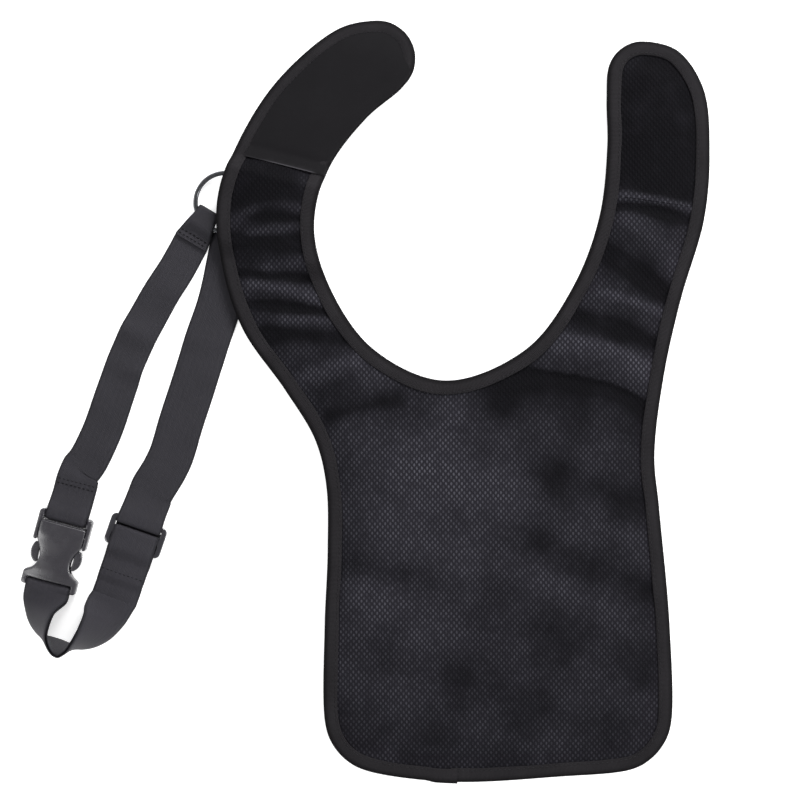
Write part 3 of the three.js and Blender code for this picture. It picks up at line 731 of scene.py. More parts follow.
def keep_painted_light(obj, painted_light_at):
    """Stores at each of the cloth's points its painted light and shade."""
    plan = np.array([v.co[:2] for v in obj.data.vertices]) * 1000
    layer = obj.data.attributes.new("painted_light", "FLOAT", "POINT")
    layer.data.foreach_set("value", painted_light_at(plan).astype(np.float32))


def cloth_over(name, loop, part, heights, spacing, slot, node, insets=()):
    """A layer of cloth over an outline, placed by follow() for its part, which stands for a node."""
    made = slab(name, [loop], heights, spacing, insets)
    dressed(sharp_edges(made, 50), slot)
    follow(made, part)
    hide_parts(node)
    return made


def panel_layer(part, layer, depth, heights, spacing, slot, node):
    """One layer of the body or a tab, its edge set in by depth: the piece and its outline."""
    loop = evenly_closed(zone(part, depth), 1.2)
    return cloth_over(f"{part}_{layer}_cloth", loop, part, heights, spacing, slot, node), loop


def panel_layers():
    """Shell, foam and mesh lining of the body and both tabs. The left tab has its patch for a lining."""
    for part, prefix in PART_NODES.items():
        node = f"{prefix}_shell"
        shell, loop = panel_layer(part, "shell", 1.2, shell_heights, 4.0, "shell_cloth", node)
        foam, _ = panel_layer(part, "foam", 1.6, foam_heights, 4.5, "foam", f"{prefix}_foam")
        if part != "left_tab":
            node = f"{prefix}_mesh_lining"
            lining, loop = panel_layer(part, "lining", 1.4, lining_heights, 2.2, "mesh_cloth", node)
            keep_painted_light(lining, painted_light)


# ---- Loop patch and hook patch ----

PATCH_SEAM_DEPTH = 8.2
PATCH_SEAM_START = (33.0, 222.0)  # where the tape comes out from under the patch, at the tip


def painted_hem_highlight(points):
    """A painted highlight along the patch's hem, strongest towards the neck."""
    past = above_fold(points, LEFT_FOLD)
    x = points[:, 0]
    return bell(past + 1.3, 0.4) * (0.2 + 0.8 * smooth((x + 72) / 14)) * smooth((-32 - x) / 5)


def loop_patch():
    """The left tab's smooth patch: inside the tape along the outer edge, over it along the neck side."""
    points = EDGE + INWARD * 1.0
    left, _ = in_tab(points, -60.0)
    order = np.roll(np.arange(len(EDGE)), -int(np.argmax(~left)))
    run = order[left[order]]
    along = lengths_along(EDGE[run])
    tip = along[np.argmin(np.linalg.norm(EDGE[run] - PATCH_SEAM_START, axis=1))]
    past_tip = smooth((along - tip) / 16 + 0.5)
    depth = 0.7 + (PATCH_SEAM_DEPTH - 0.7) * past_tip
    polygon = EDGE[run] + INWARD[run] * depth[:, None]
    over_fold = -1.6
    loop = evenly_closed(cut_polygon(polygon, LEFT_FOLD, True, over_fold, 50.0), 1.2)
    thickness = 0.6

    def heights(points):
        """Padded inside the tape, turned down at its edge and ridged along its hem."""
        x, y = points[:, 0], points[:, 1]
        past = above_fold(points, LEFT_FOLD)
        depth_in = from_edge(points)
        padding = 0.75 * smooth((depth_in - 6) / 16)
        turned_down = 1.6 * (1 - smooth(depth_in / 2.4))
        soft = 0.25 * np.sin(x / 15 - y / 21) + 0.2 * np.sin(y / 12 + x / 34 + 1)
        hem = 0.55 * bell(past + 0.3, 1.6) - 0.5 * bell(past - 6.5, 2.2)
        base = 5.55 + padding - turned_down
        top = base + soft * smooth((depth_in - 4) / 10) + hem + 0.35 * bell(past, 9) + rise(points)
        return top - thickness, top

    insets, node = (0.3, 0.9), "left_tab_loop_patch"
    patch = cloth_over("left_tab_patch", loop, "left_tab", heights, 2.0, "loop_cloth", node, insets)
    keep_painted_light(patch, painted_hem_highlight)


def hook_patch():
    """Hook tape under the right tab."""
    inset, past_fold_line = 11, 22
    loop = evenly_closed(cut_polygon(EDGE + INWARD * inset, RIGHT_FOLD, True, past_fold_line, 50.0), 2.0)

    def heights(points):
        return np.full(len(points), 0.05), shell_low(points) - 0.02

    node = "right_tab_hook_patch"
    patch = cloth_over("hook_patch", loop, "right_tab", heights, 3.0, "hook_tape", node)


# ---- Edge tape ----

# The folded tape's section, from its upper inner border round the edge and back: distance in, height.
TAPE_BORDER = [(9.45, 4.55), (9.4, 5.05), (8.9, 5.3), (7.9, 5.16), (7.2, 5.3)]
TAPE_OUTSIDE = [(4.6, 5.4), (2.2, 5.2), (0.8, 4.55), (0.15, 3.6), (0.0, 2.7), (0.15, 1.7), (0.8, 0.75)]
TAPE_UNDERSIDE = [(2.2, 0.15), (7.9, 0.02), (9.4, 0.1), (9.4, 0.75)]
TAPE_INSIDE = [(2.2, 0.95), (1.15, 1.9), (1.0, 2.7), (1.15, 3.5), (2.2, 4.35), (9.0, 4.45)]
TAPE_SECTION = np.array([*TAPE_BORDER, *TAPE_OUTSIDE, *TAPE_UNDERSIDE, *TAPE_INSIDE])
STITCH_INSET = 7.9
STITCH_PITCH = 3.1
STITCH_Z = 5.24


def tape_runs():
    """The edge's samples in each piece of the tape: indices in order along it."""
    left, right = in_tab(EDGE, -9.0)
    x, y = EDGE[:, 0], EDGE[:, 1]
    overlap_x = 56
    bottom = int(np.argmin(np.where(y < -200, np.abs(x - overlap_x), 1e9)))
    order = np.roll(np.arange(len(EDGE)), -bottom)
    (r0, r1), (l0, l1) = (np.nonzero(flag[order])[0][[0, -1]] for flag in (right, left))
    return {
        "right_side": order[: r0 + 1],
        "right_tab": order[r0 : r1 + 1],
        "neckline": order[r1 : l0 + 1],
        "left_tab": order[l0 : l1 + 1],
        "left_side": np.append(order[l1:], order[:6]),
    }


def swept_faces(count, size, outward):
    """The faces of a section of size points swept along count places, and its two ends."""
    last = (count - 1) * size
    faces = []
    for i in range(0, last, size):
        for k in range(size):
            a, b = (k, (k + 1) % size) if outward else ((k + 1) % size, k)
            faces.append((i + a, i + b, i + size + b, i + size + a))
    first_end, last_end = range(size), range(last, last + size)
    if outward:
        return [*faces, tuple(reversed(first_end)), tuple(last_end)]
    return [*faces, tuple(first_end), tuple(reversed(last_end))]


def tape_piece(name, run):
    """Sweeps the tape's section along the edge. Its inner border puckers between the stitches."""
    base, inward = EDGE[run], INWARD[run]
    along = lengths_along(base)
    size = len(TAPE_SECTION)
    depth = np.tile(TAPE_SECTION[:, 0], (len(run), 1))
    height = np.tile(TAPE_SECTION[:, 1], (len(run), 1))
    pucker = np.sin(along * 2 * math.pi / STITCH_PITCH)[:, None]
    drift = (np.sin(along / 13.0) + 0.6 * np.sin(along / 5.7 + 1))[:, None]
    border = smooth((TAPE_SECTION[:, 0] - 6.5) / 2.5)[None, :]
    upper = smooth((TAPE_SECTION[:, 1] - 3.0) / 1.5)[None, :]
    depth = depth + border * (0.16 * drift + 0.06 * pucker)
    height = height + upper * (0.05 * pucker * border + 0.06 * drift)
    if name == "left_side":
        # Its last stretch laps over the tape's other end.
        lap_length, lap_out, lap_up = 22, 0.9, 0.7
        overlap = smooth((along - along[-1] + lap_length) / 8)[:, None]
        depth = depth * (1 + 0.06 * overlap) - lap_out * overlap
        height = height + overlap * np.where(TAPE_SECTION[:, 1] > 2.7, lap_up, 0.0)
        height = np.maximum(height, 0.02)
    flat = (base[:, None, :] + inward[:, None, :] * depth[:, :, None]).reshape(-1, 2)
    height = height.ravel() + rise(flat)
    points = np.column_stack([flat, height])
    section_length = lengths_along(TAPE_SECTION)
    inward = np.tile(TAPE_SECTION[:, 0], len(run))
    weave = np.column_stack([np.tile(section_length, len(run)), np.repeat(along, size), inward])
    made = mesh_object(f"tape_{name}", points, swept_faces(len(run), size, True), {"weave": weave})
    return sharp_edges(made, 60), along[-1]


def stitches(name, places, directions, lifts, length=2.3, width=0.5, thick=0.3):
    """A row of raised thread stitches: their middles, their directions in plan, and their heights."""
    points, faces = [], []
    for (x, y), (dx, dy), z in zip(places, directions, lifts):
        start = len(points)
        ring = [(width / 2, 0), (0, thick), (-width / 2, 0), (0, -thick)]
        for share in (-0.28, 0.28):
            for side, up in ring:
                end = (x + dx * share * length, y + dy * share * length)
                points.append((end[0] - dy * side, end[1] + dx * side, z + up))
        points.append((x - dx * length / 2, y - dy * length / 2, z - thick * 0.7))
        points.append((x + dx * length / 2, y + dy * length / 2, z - thick * 0.7))
        for k in range(4):
            nxt = (k + 1) % 4
            faces.append((start + k, start + 4 + k, start + 4 + nxt, start + nxt))
            faces.append((start + 8, start + k, start + nxt))
            faces.append((start + 9, start + 4 + nxt, start + 4 + k))
    made = mesh_object(name, points, faces)
    made.data.materials.append(TAPE_THREAD)
    return made


def edge_tapes():
    """The five pieces of the tape, each with its row of stitches."""
    for name, run in tape_runs().items():
        tape, length = tape_piece(name, run)
        dressed(tape, "edge_tape")
        line = evenly(EDGE[run] + INWARD[run] * STITCH_INSET, STITCH_PITCH / 4)
        middles = line[2::4]
        ahead = unit(line[np.minimum(np.arange(2, len(line), 4) + 1, len(line) - 1)] - middles)
        lifts = rise(middles[1:-1]) + STITCH_Z
        row = stitches(f"tape_{name}_stitches", middles[1:-1], ahead[1:-1], lifts)
        for piece in (tape, row):
            follow(piece, name)
        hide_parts(f"{name}_edge_tape" if name in FOLD_OF else f"edge_tape_{name}")


# ---- Webbing ----


def frame_at(place):
    """A place's own frame: (across, along, height) to a point, turned anticlockwise by degrees."""
    x, y, turn = place
    c, s = math.cos(math.radians(turn)), math.sin(math.radians(turn))
    return lambda across, along, z: np.array([x + across * c - along * s, y + across * s + along * c, z])


ring_end = frame_at(RING_END)
buckle = frame_at(BUCKLE)
glide = frame_at(GLIDE)
start_of_turn = frame_at(TURN_START)


def level_run(place, rows):
    """Stations (right edge, left edge) of a level strap, from rows of along, height, width."""
    return [(place(width / 2, along, z), place(-width / 2, along, z)) for along, z, width in rows]


def course_run(rows, steps):
    """Stations along a smooth course, from rows of x, y, height, width."""
    curve = catmull_rom(np.array(rows, float), False, 12)
    curve = curve[np.linspace(0, len(curve) - 1, steps + 1).round().astype(int)]
    along = unit(np.gradient(curve[:, :2], axis=0))
    made = []
    for (x, y, z, width), (dx, dy) in zip(curve, along):
        side = np.array([-dy, dx, 0]) * width / 2
        middle = np.array([x, y, z])
        made.append((middle + side, middle - side))
    return made


def round_bar(face, bar_z, side, width, bend=AROUND):
    """Rows that carry a strap round one side of a bar, from over it to under it."""
    low, high = bar_z
    middle, radius = (low + high) / 2, (high - low) / 2 + AROUND
    rows = []
    for degrees in range(90, -91, -15):
        angle = math.radians(degrees)
        rows.append((face + side * bend * math.cos(angle), middle + radius * math.sin(angle), width))
    return rows


def round_wire(along, width):
    """Rows that carry a strap round the ring's wire, from over it to under it."""
    radius = RING["z"] - ON_FLOOR
    angles = [math.radians(degrees) for degrees in range(90, -91, -18)]
    return [(along + radius * math.cos(a), RING["z"] + radius * math.sin(a), width) for a in angles]


OVER_RING = 2 * RING["z"] - ON_FLOOR


def refined(stations):
    """Stations spaced evenly on smooth curves through both edges."""
    step = 1.1
    pairs = np.array([np.concatenate(pair) for pair in stations])
    gaps = np.linalg.norm(np.diff(pairs, axis=0), axis=1)
    pairs = pairs[np.concatenate([[True], gaps > 0.05])]
    return evenly(catmull_rom(pairs, False, 6), step * math.sqrt(2))


def lifted(pairs, bumps):
    """Raises the strap in soft waves, from x, y, radius, and the heights on its right and left edges."""
    pairs = pairs.copy()
    middle = (pairs[:, 0:2] + pairs[:, 3:5]) / 2
    for x, y, radius, right, left in bumps:
        near = np.exp(-np.sum((middle - (x, y)) ** 2, axis=1) / radius**2)
        pairs[:, 2] += right * near
        pairs[:, 5] += left * near
    return pairs


# A strap's section: how far each point is across, and 1 on its face, -1 on its back, 0 at its edges.
ACROSS = np.concatenate([np.linspace(-1, 1, 11), [1.0], np.linspace(1, -1, 11), [-1.0]])
SIDE = np.concatenate([np.ones(11), [0.0], -np.ones(11), [0.0]])


def edge_faces(pairs):
    """The ways a strap's face looks along its right edge and along its left edge."""
    across = pairs[:, :3] - pairs[:, 3:]
    return [unit(np.cross(across, np.gradient(pairs[:, at : at + 3], axis=0))) for at in (0, 3)]


def strap(name, pairs):
    """A strap of the webbing's thickness, thinner at its woven edges, through pairs of edge points."""
    right, left = pairs[:, :3], pairs[:, 3:]
    middle = (right + left) / 2
    across = (right - left) / 2
    half = np.linalg.norm(across, axis=1)
    on_right, on_left = (face[:, None, :] for face in edge_faces(pairs))
    size = len(ACROSS)
    thin = np.where(np.abs(ACROSS) > 0.99, 0.45, 1.0) * SIDE * WEB_THICK / 2
    reach = np.where(SIDE == 0, 1.0, np.minimum(np.abs(ACROSS), 0.985)) * np.sign(ACROSS)
    rightward = (1 + reach[None, :, None]) / 2
    face = unit(on_right * rightward + on_left * (1 - rightward))
    places = middle[:, None, :] + across[:, None, :] * reach[None, :, None] + face * thin[None, :, None]
    travelled = lengths_along(middle)
    from_middle = (half[:, None] * reach[None, :]).ravel()
    weave = np.column_stack([from_middle, np.repeat(travelled, size), np.tile(reach, len(pairs))])
    faces = swept_faces(len(pairs), size, False)
    made = mesh_object(name, places.reshape(-1, 3), faces, {"weave": weave})
    dressed(sharp_edges(made, 60), "webbing")
    return made, float(travelled[-1])


def stitch_row(name, place, along, width, z):
    """A row of stitches across a strap in a place's own frame."""
    turn = place(1, 0, 0) - place(0, 0, 0)
    pitch, inset = 2.9, 2.2
    spots = np.arange(-width / 2 + inset, width / 2 - inset + 0.01, pitch)
    middles = [place(across, along, 0)[:2] for across in spots]
    size = {"length": 2.1, "width": 0.55, "thick": 0.26}
    return stitches(name, middles, [turn[:2]] * len(spots), [z] * len(spots), **size)


def one_object(name, *pieces):
    """Joins rows of stitches into one piece."""
    points, faces = [], []
    for piece in pieces:
        start = len(points)
        points += [tuple(v.co * 1000) for v in piece.data.vertices]
        faces += [tuple(start + i for i in f.vertices) for f in piece.data.polygons]
        bpy.data.objects.remove(piece)
    made = mesh_object(name, points, faces)
    made.data.materials.append(STRAP_THREAD)
    return made


def declare_strap(node):
    """Hides the node that a strap stands for."""
    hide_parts(node)


def upper_strap():
    """Sewn round the ring, down to the buckle, round the male bar and back."""
    flap = [
        (-22.5, ON_FLOOR + LAYER, 24),
        (-21, ON_FLOOR + LAYER + 0.1, 23.8),
        (-16, ON_FLOOR + LAYER + 0.2, 22),
        (-10.4, OVER_RING - 0.3, 19),
        (-5, OVER_RING, 16.4),
        *round_wire(-0.4, 15),
        (-5, ON_FLOOR + 0.1, 16.4),
        (-10, ON_FLOOR, 19),
    ]
    course = [
        (*ring_end(0, -22, ON_FLOOR), 24),
        (-126.2, 88, ON_FLOOR, 24.5),
        (-139, 67.5, ON_FLOOR, 25),
        (-156.5, 34, ON_FLOOR, 25.5),
        (-164, 14, ON_FLOOR, 26),
        (-175.4, -19, ON_FLOOR, 26.5),
        (-185, -39, ON_FLOOR, 27),
        (*buckle(0, 56, ON_FLOOR), 27.5),
    ]
    at_buckle = [
        (50.5, ON_FLOOR + LAYER, 28),
        (40, ON_FLOOR + LAYER, 28),
        (33, 4.4, 28),
        (28, 7, 28),
        (26, BAR_Z[1] + AROUND, 28),
        *round_bar(MALE["bar"][0], BAR_Z, -1, 28, BAR_BEND),
        (MALE["bar"][1], BAR_Z[0] - AROUND, 28),
        (36, ON_FLOOR, 28),
        (48, ON_FLOOR, 28),
    ]
    waves = [
        (-133, 77, 11, 2.0, 0.6),
        (-151.5, 45, 8, 1.2, 3.4),
        (-161, 23, 7, 2.8, 0.8),
        (-170, -3, 13, 0.5, 1.4),
        (-181, -30, 9, 1.2, 0.4),
    ]
    stations = level_run(ring_end, flap) + course_run(course, 28) + level_run(buckle, at_buckle)
    made, length = strap("strap_upper_webbing", lifted(refined(stations), waves))
    rows = [
        stitch_row("a", ring_end, -20.4, 23.4, ON_FLOOR + LAYER + 0.85),
        stitch_row("b", ring_end, -17.6, 22.6, ON_FLOOR + LAYER + 0.85),
        stitch_row("c", buckle, 47.5, 28, ON_FLOOR + LAYER + 0.65),
        stitch_row("d", buckle, 44.5, 28, ON_FLOOR + LAYER + 0.65),
    ]
    sewing = one_object("strap_upper_stitches", *rows)
    for piece in (made, sewing):
        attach(piece, "harness")
    declare_strap("strap_upper")


def anchor_loop():
    """Webbing sewn under the left arm, folded round the hidden side of the ring."""
    place = frame_at((RING["x"], RING["y"], 90))
    width = 24
    under_shell = SHELL_AT_TAPE + ARM_RISE[2][1] - GAP - ON_FLOOR
    rows = [
        (-36, under_shell, width),
        (-30, under_shell, width),
        (-27, under_shell - 0.1, width),
        (-22, OVER_RING, width),
        *round_wire(-12.5, width),
        (-22, ON_FLOOR + 0.1, width),
        (-25, 1.8, width),
        (-28, under_shell - LAYER - 0.2, width),
        (-31, under_shell - LAYER, width),
        (-36, under_shell - LAYER, width),
    ]
    made, length = strap("ring_anchor_webbing", refined(level_run(place, rows)))
    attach(made, "harness")
    declare_strap("ring_anchor_loop")


def long_strap():
    """From under the left arm, over the slider's upper bar, down through it, and on under the sewn end."""
    width = 30
    course = [
        (-86.8, 109, ON_FLOOR, width + 1.8),
        (-88.8, 101, ON_FLOOR, width + 1.6),
        (-96.6, 68, ON_FLOOR, width),
        (-105.5, 41, ON_FLOOR, width),
        (-114, 14, ON_FLOOR, width),
        (-122.5, -12, ON_FLOOR, width),
        (-131, -39, ON_FLOOR, width),
        (*glide(0, 32, ON_FLOOR), width),
    ]
    over = GLIDE_Z[1] + AROUND
    through_slot = [
        (26, 1.2, width),
        (19, 4.2, width),
        (13.5, 6.2, (width + LOOP_WIDTH) / 2),
        (10.5, over, LOOP_WIDTH),
        (8.2, over, LOOP_WIDTH),
        (6.6, over - 0.1, LOOP_WIDTH),
        (5.75, 5.7, LOOP_WIDTH),
        (5.6, 4.8, LOOP_WIDTH),
        (5.6, 2.4, LOOP_WIDTH),
        (5.35, 1.5, LOOP_WIDTH),
        (4.6, 0.85, LOOP_WIDTH),
        (3.4, 0.7, LOOP_WIDTH),
        (1, ON_FLOOR, LOOP_WIDTH),
        (-14, ON_FLOOR, LOOP_WIDTH),
    ]
    under = [
        (*glide(0, -20, ON_FLOOR), LOOP_WIDTH),
        (*glide(0, -30, ON_FLOOR), LOOP_WIDTH - 3),
        (*TURN_START[:2], ON_FLOOR, LOOP_WIDTH - 6),
    ]
    waves = [(-105, 40, 10, 0.5, 1.6), (-112, 20, 9, 1.2, 0.2), (-124, -18, 12, 0.9, 0.4)]
    stations = course_run(course, 20) + level_run(glide, through_slot) + course_run(under, 5)
    made, length = strap("strap_long_webbing", lifted(refined(stations), waves))
    glide(0, 92, 2) * 0.001
    glide(0, 24, 2) * 0.001
    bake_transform(made)
    declare_strap("strap_long")


def sewn_end():
    """The strap's end, stitched back on itself round the slider's centre bar."""
    width = LOOP_WIDTH
    over = GLIDE_Z[1] + AROUND
    second, third = ON_FLOOR + LAYER, ON_FLOOR + 2 * LAYER
    rows = [
        (-30, second, width),
        (-20, second, width),
        (-8, second, width),
        (-1, second + 0.01, width - 0.1),
        *reversed(round_bar(GLIDE_BAR / 2, GLIDE_Z, 1, width - 0.2)),
        (-2, over, width - 0.1),
        (-11.5, over - 0.15, width),
        (-18, third + 0.15, width),
        (-25, third, width),
        (-30.5, third, width),
        (-33, third - 0.7, width),
        (-36, second, width),
    ]
    end = [(*glide(0, -38, second), width), (*TURN_START[:2], second, width)]
    stations = level_run(glide, rows) + course_run(end, 2)
    made, length = strap("strap_sewn_end_webbing", refined(stations))
    sewing = one_object("strap_sewn_end_stitches", stitch_row("e", glide, -27.3, width, third + 0.65))
    top, bottom = glide(0, -10, 2) * 0.001, glide(0, -46, 2) * 0.001
    for piece in (made, sewing):
        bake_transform(piece)
    declare_strap("strap_sewn_end")


def leaning(down, up, past_upright=False, lift=0.0):
    """A station of the turn: the edge that stays down and the edge that leans up, in plan."""
    plan = math.hypot(down[0] - up[0], down[1] - up[1])
    cosine = plan / LOOP_WIDTH * (-1 if past_upright else 1)
    low = OFF_FLOOR + ON_FLOOR * abs(cosine) + LAYER * max(cosine, 0) + lift
    rise_up = math.sqrt(LOOP_WIDTH**2 - plan**2)
    return np.array([*down, low]), np.array([*up, low + rise_up])


def turned_loop():
    """The doubled strap turns back to the buckle, standing on its outer edge, and rounds the female bar."""
    second = ON_FLOOR + LAYER
    half = LOOP_WIDTH / 2
    bar_top = BAR_Z[1] + AROUND
    bar_width = 29.6
    near_bar = FEMALE["bar"][0] - 1
    keys = [
        (start_of_turn(half, 0.05, second), start_of_turn(-half, 0.05, second)),
        leaning((-155.4, -140.5), (-184, -129.2)),
        leaning((-158.1, -144.8), (-184.6, -133.7)),
        leaning((-160.8, -148.8), (-183.9, -138.1)),
        leaning((-169.8, -158), (-185.8, -146.7)),
        leaning((-179.2, -163.2), (-188.1, -153)),
        leaning((-188, -165), (-191.1, -158.6)),
        leaning((-196, -163.2), (-194.8, -163.6), True),
        leaning((-203, -160.2), (-199.7, -166.3), True),
        leaning((-209.5, -158.2), (-204.2, -163.9), True),
        leaning((-215.2, -156.8), (-207, -158.3)),
        leaning((-220.2, -153.2), (-208.1, -152.5)),
        leaning((-224.4, -146.6), (-207, -145.8)),
        leaning((-226.8, -137.6), (-203.8, -137.7), False, 0.6),
        leaning((-227.6, -128.8), (-197.6, -131.4), False, 1.6),
        (buckle(-bar_width / 2, near_bar, bar_top), buckle(bar_width / 2, near_bar, bar_top)),
    ]
    outer = catmull_rom(np.array([np.concatenate(key) for key in keys]), False, 8)
    nearness = smooth((np.arange(len(outer)) / (len(outer) - 1) - 0.86) / 0.14)[:, None]
    apart = LAYER + (BAR_Z[1] - BAR_Z[0] + 2 * AROUND - LAYER) * nearness
    down = np.array([0, 0, -1])
    shift = [unit(face * (1 - nearness) + down * nearness) * apart for face in edge_faces(outer)]
    inner = (outer + np.concatenate(shift, axis=1))[::-1]
    wrap = level_run(buckle, round_bar(FEMALE["bar"][1], BAR_Z, 1, -bar_width, BAR_BEND))
    pairs = np.concatenate([outer, [np.concatenate(pair) for pair in wrap], inner])
    made, length = strap("strap_turned_loop_webbing", evenly(pairs, 1.5))
    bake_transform(made)
    declare_strap("strap_turned_loop")


# ---- Ring ----


def fitted(obj, slot, body, node):
    """Gives a rigid piece its material, the body it rides on and the node it stands for."""
    dressed(obj, slot)
    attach(obj, body)
    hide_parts(node)


def ring():
    """Round bent wire, with the faint bead where its ends are welded."""
    around, section = 180, 24
    turns = np.arange(around) * 2 * math.pi / around
    past_weld = (turns - math.radians(-20)) % (2 * math.pi)
    weld = np.exp(-(past_weld**2) / 0.004) + np.exp(-((past_weld - 2 * math.pi) ** 2) / 0.004)
    points = []
    for turn, bead in zip(turns, weld):
        radius = RING["wire"] * (1 + 0.06 * bead)
        for k in range(section):
            angle = 2 * math.pi * k / section
            out = RING["radius"] + radius * math.cos(angle)
            height = RING["z"] + radius * math.sin(angle)
            points.append((RING["x"] + out * math.cos(turn), RING["y"] + out * math.sin(turn), height))
    faces = []
    for i in range(around):
        j = (i + 1) % around
        for k in range(section):
            m = (k + 1) % section
            faces.append((i * section + k, j * section + k, j * section + m, i * section + m))
    fitted(mesh_object("steel_ring", points, faces), "ring_steel", "ring", "ring")


# ---- Moulded pieces ----


def drawn(start, *moves):
    """A closed outline of straight lines (x, y) and curves (control x, y, end x, y), as close points."""
    points = [np.array(start, float)]
    for move in moves:
        p0 = points[-1]
        end = np.array(move[-2:], float)
        control = np.array(move[:2], float) if len(move) == 4 else (p0 + end) / 2
        count = max(2, int(np.linalg.norm(end - p0) / 0.45) + 1)
        for t in np.linspace(0, 1, count)[1:]:
            points.append((1 - t) ** 2 * p0 + 2 * t * (1 - t) * control + t**2 * end)
    points = np.array(points)
    if np.linalg.norm(points[0] - points[-1]) < 0.05:
        points = points[:-1]
    return points


def rounded_box(x0, x1, y0, y1, corner):
    """A rectangle with rounded corners, anticlockwise."""
    corners = [(x1, y0, -90), (x1, y1, 0), (x0, y1, 90), (x0, y0, 180)]
    points = []
    for x, y, begin in corners:
        cx = x - corner if x == x1 else x + corner
        cy = y + corner if y == y0 else y - corner
        points += arc(cx, cy, corner, begin, begin + 90, 6)
    return evenly_closed(np.array(points), 0.5)


def moulded(name, loops, place, heights, radius, spacing=1.0):
    """A moulded piece with rounded edges. heights(points) gives its two faces away from the edges."""

    def rounded(points):
        low, high = heights(points)
        near = np.minimum(loop_distance(points, loops), radius)
        drop = radius - np.sqrt(np.maximum(radius**2 - (radius - near) ** 2, 0))
        return low + drop, high - drop

    insets = tuple(radius * (1 - math.cos(math.radians(a))) for a in (25, 50, 75))
    made = slab(name, loops, rounded, spacing, insets, place)
    return sharp_edges(made, 40)


def between(value, low, high, width):
    """1 between low and high, easing to 0 outside them over a width."""
    return smooth((value - low) / width + 0.5) * smooth((high - value) / width + 0.5)


def level(low, high):
    """Heights of a piece with two level faces."""
    return lambda points: (np.full(len(points), float(low)), np.full(len(points), float(high)))


def mirrored(one_side):
    """A closed outline from its right half, which runs from the middle line to the middle line."""
    return np.concatenate([one_side, one_side[1:-1][::-1] * (-1, 1)])


def strap_slot(half, low, high):
    return rounded_box(-half, half, low, high, 0.8)


def carve(obj, place, x, y, z):
    """Cuts a box out of a piece."""
    corners = [place(a, b, c) for a in x for b in y for c in z]
    faces = [(0, 1, 3, 2), (4, 6, 7, 5), (0, 4, 5, 1), (2, 3, 7, 6), (0, 2, 6, 4), (1, 5, 7, 3)]
    cutter = mesh_object("cutter", corners, faces)
    modifier = obj.modifiers.new("carve", "BOOLEAN")
    modifier.operation = "DIFFERENCE"
    modifier.object = cutter
    bpy.context.view_layer.update()
    evaluated = obj.evaluated_get(bpy.context.evaluated_depsgraph_get())
    carved = bpy.data.meshes.new_from_object(evaluated)
    obj.modifiers.clear()
    obj.data = carved
    bpy.data.objects.remove(cutter)
    points = np.array([v.co for v in carved.vertices], np.float32) * 1000
    layer = carved.attributes.get("rest") or carved.attributes.new("rest", "FLOAT_VECTOR", "POINT")
    layer.data.foreach_set("vector", points.ravel())
    return sharp_edges(obj, 40)


def male_half():
    """The base that holds the strap's bar between two side rails, and the tongue between the prongs."""
    half, (bar_low, bar_high), end = MALE["half"], MALE["bar"], MALE["rail_end"]
    rail, base = HOOD["half"] + GAP, MALE["base"]
    right = [
        (rail, end + 0.8),
        (rail, end, rail + 0.8, end),
        (half - 1.2, end),
        (half, end, half, end + 1.8),
        (half, bar_high - 2.8),
        (half, bar_high, half - 2.8, bar_high),
        (0, bar_high),
    ]
    outline = mirrored(drawn((0, base), (rail, base), *right))
    slot = strap_slot(MALE["slot_half"], MALE["slot_end"], bar_low)

    def heights(points):
        x, y = points[:, 0], points[:, 1]
        foot, rail_top = 0.8, 8.5
        bar = smooth((MALE["slot_half"] + 0.4 - np.abs(x)) / 0.8) * smooth((y - bar_low + 0.4) / 0.8)
        crown = 0.35 * (1 - (x / half) ** 2)
        under_hood = smooth((rail - np.abs(x)) / 0.3) * smooth((MALE["slot_end"] - y) / 0.3 + 1)
        high = rail_top + crown * (1 - bar)
        high = high + (HOOD["low"] - GAP - high) * under_hood
        return foot + (BAR_Z[0] - foot) * bar, high + (BAR_Z[1] - high) * bar

    frame_piece = moulded("buckle_male_frame", [outline, slot], buckle, heights, 0.9)
    tongue_outline = rounded_box(-3, 3, -9, MALE["base"] - 0.1, 1.4)
    tongue = moulded("buckle_male_tongue", [tongue_outline], buckle, level(3.4, 6.2), 0.7)
    fitted(frame_piece, "buckle_plastic", "harness", "buckle_male_base")
    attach(dressed(tongue, "buckle_plastic"), "harness")


def prong(side, name):
    """A sprung arm with a ribbed pad that shows in the buckle's side window."""
    inside_x, outside_x = PRONG_X - PRONG_THICK / 2, PRONG_X + PRONG_THICK / 2
    outline = drawn(
        (inside_x, PRONG_ROOT),
        (inside_x, 2),
        (PRONG_X, -4, inside_x, -9),
        (12.2, -10.6, 14, -9.4),
        (17, -7, 17.2, -2.5),
        (17, 1.5, 15.4, 3.4),
        (outside_x, 3.7),
        (outside_x, PRONG_ROOT),
        (inside_x, PRONG_ROOT),
    )
    pad = between(outline[:, 1], -6.5, 1.5, 1.5) * smooth(outline[:, 0] - 15.5)
    rib_height, rib_pitch = 0.16, 1.3
    outline[:, 0] += rib_height * pad * np.sin(outline[:, 1] * 2 * math.pi / rib_pitch)
    outline[:, 0] *= side
    if side < 0:
        outline = outline[::-1]
    made = moulded(name, [outline], buckle, level(*PRONG_Z), 0.55, 0.7)
    body = "prong_right" if side > 0 else "prong_left"
    fitted(made, "buckle_plastic", body, f"buckle_{body}")


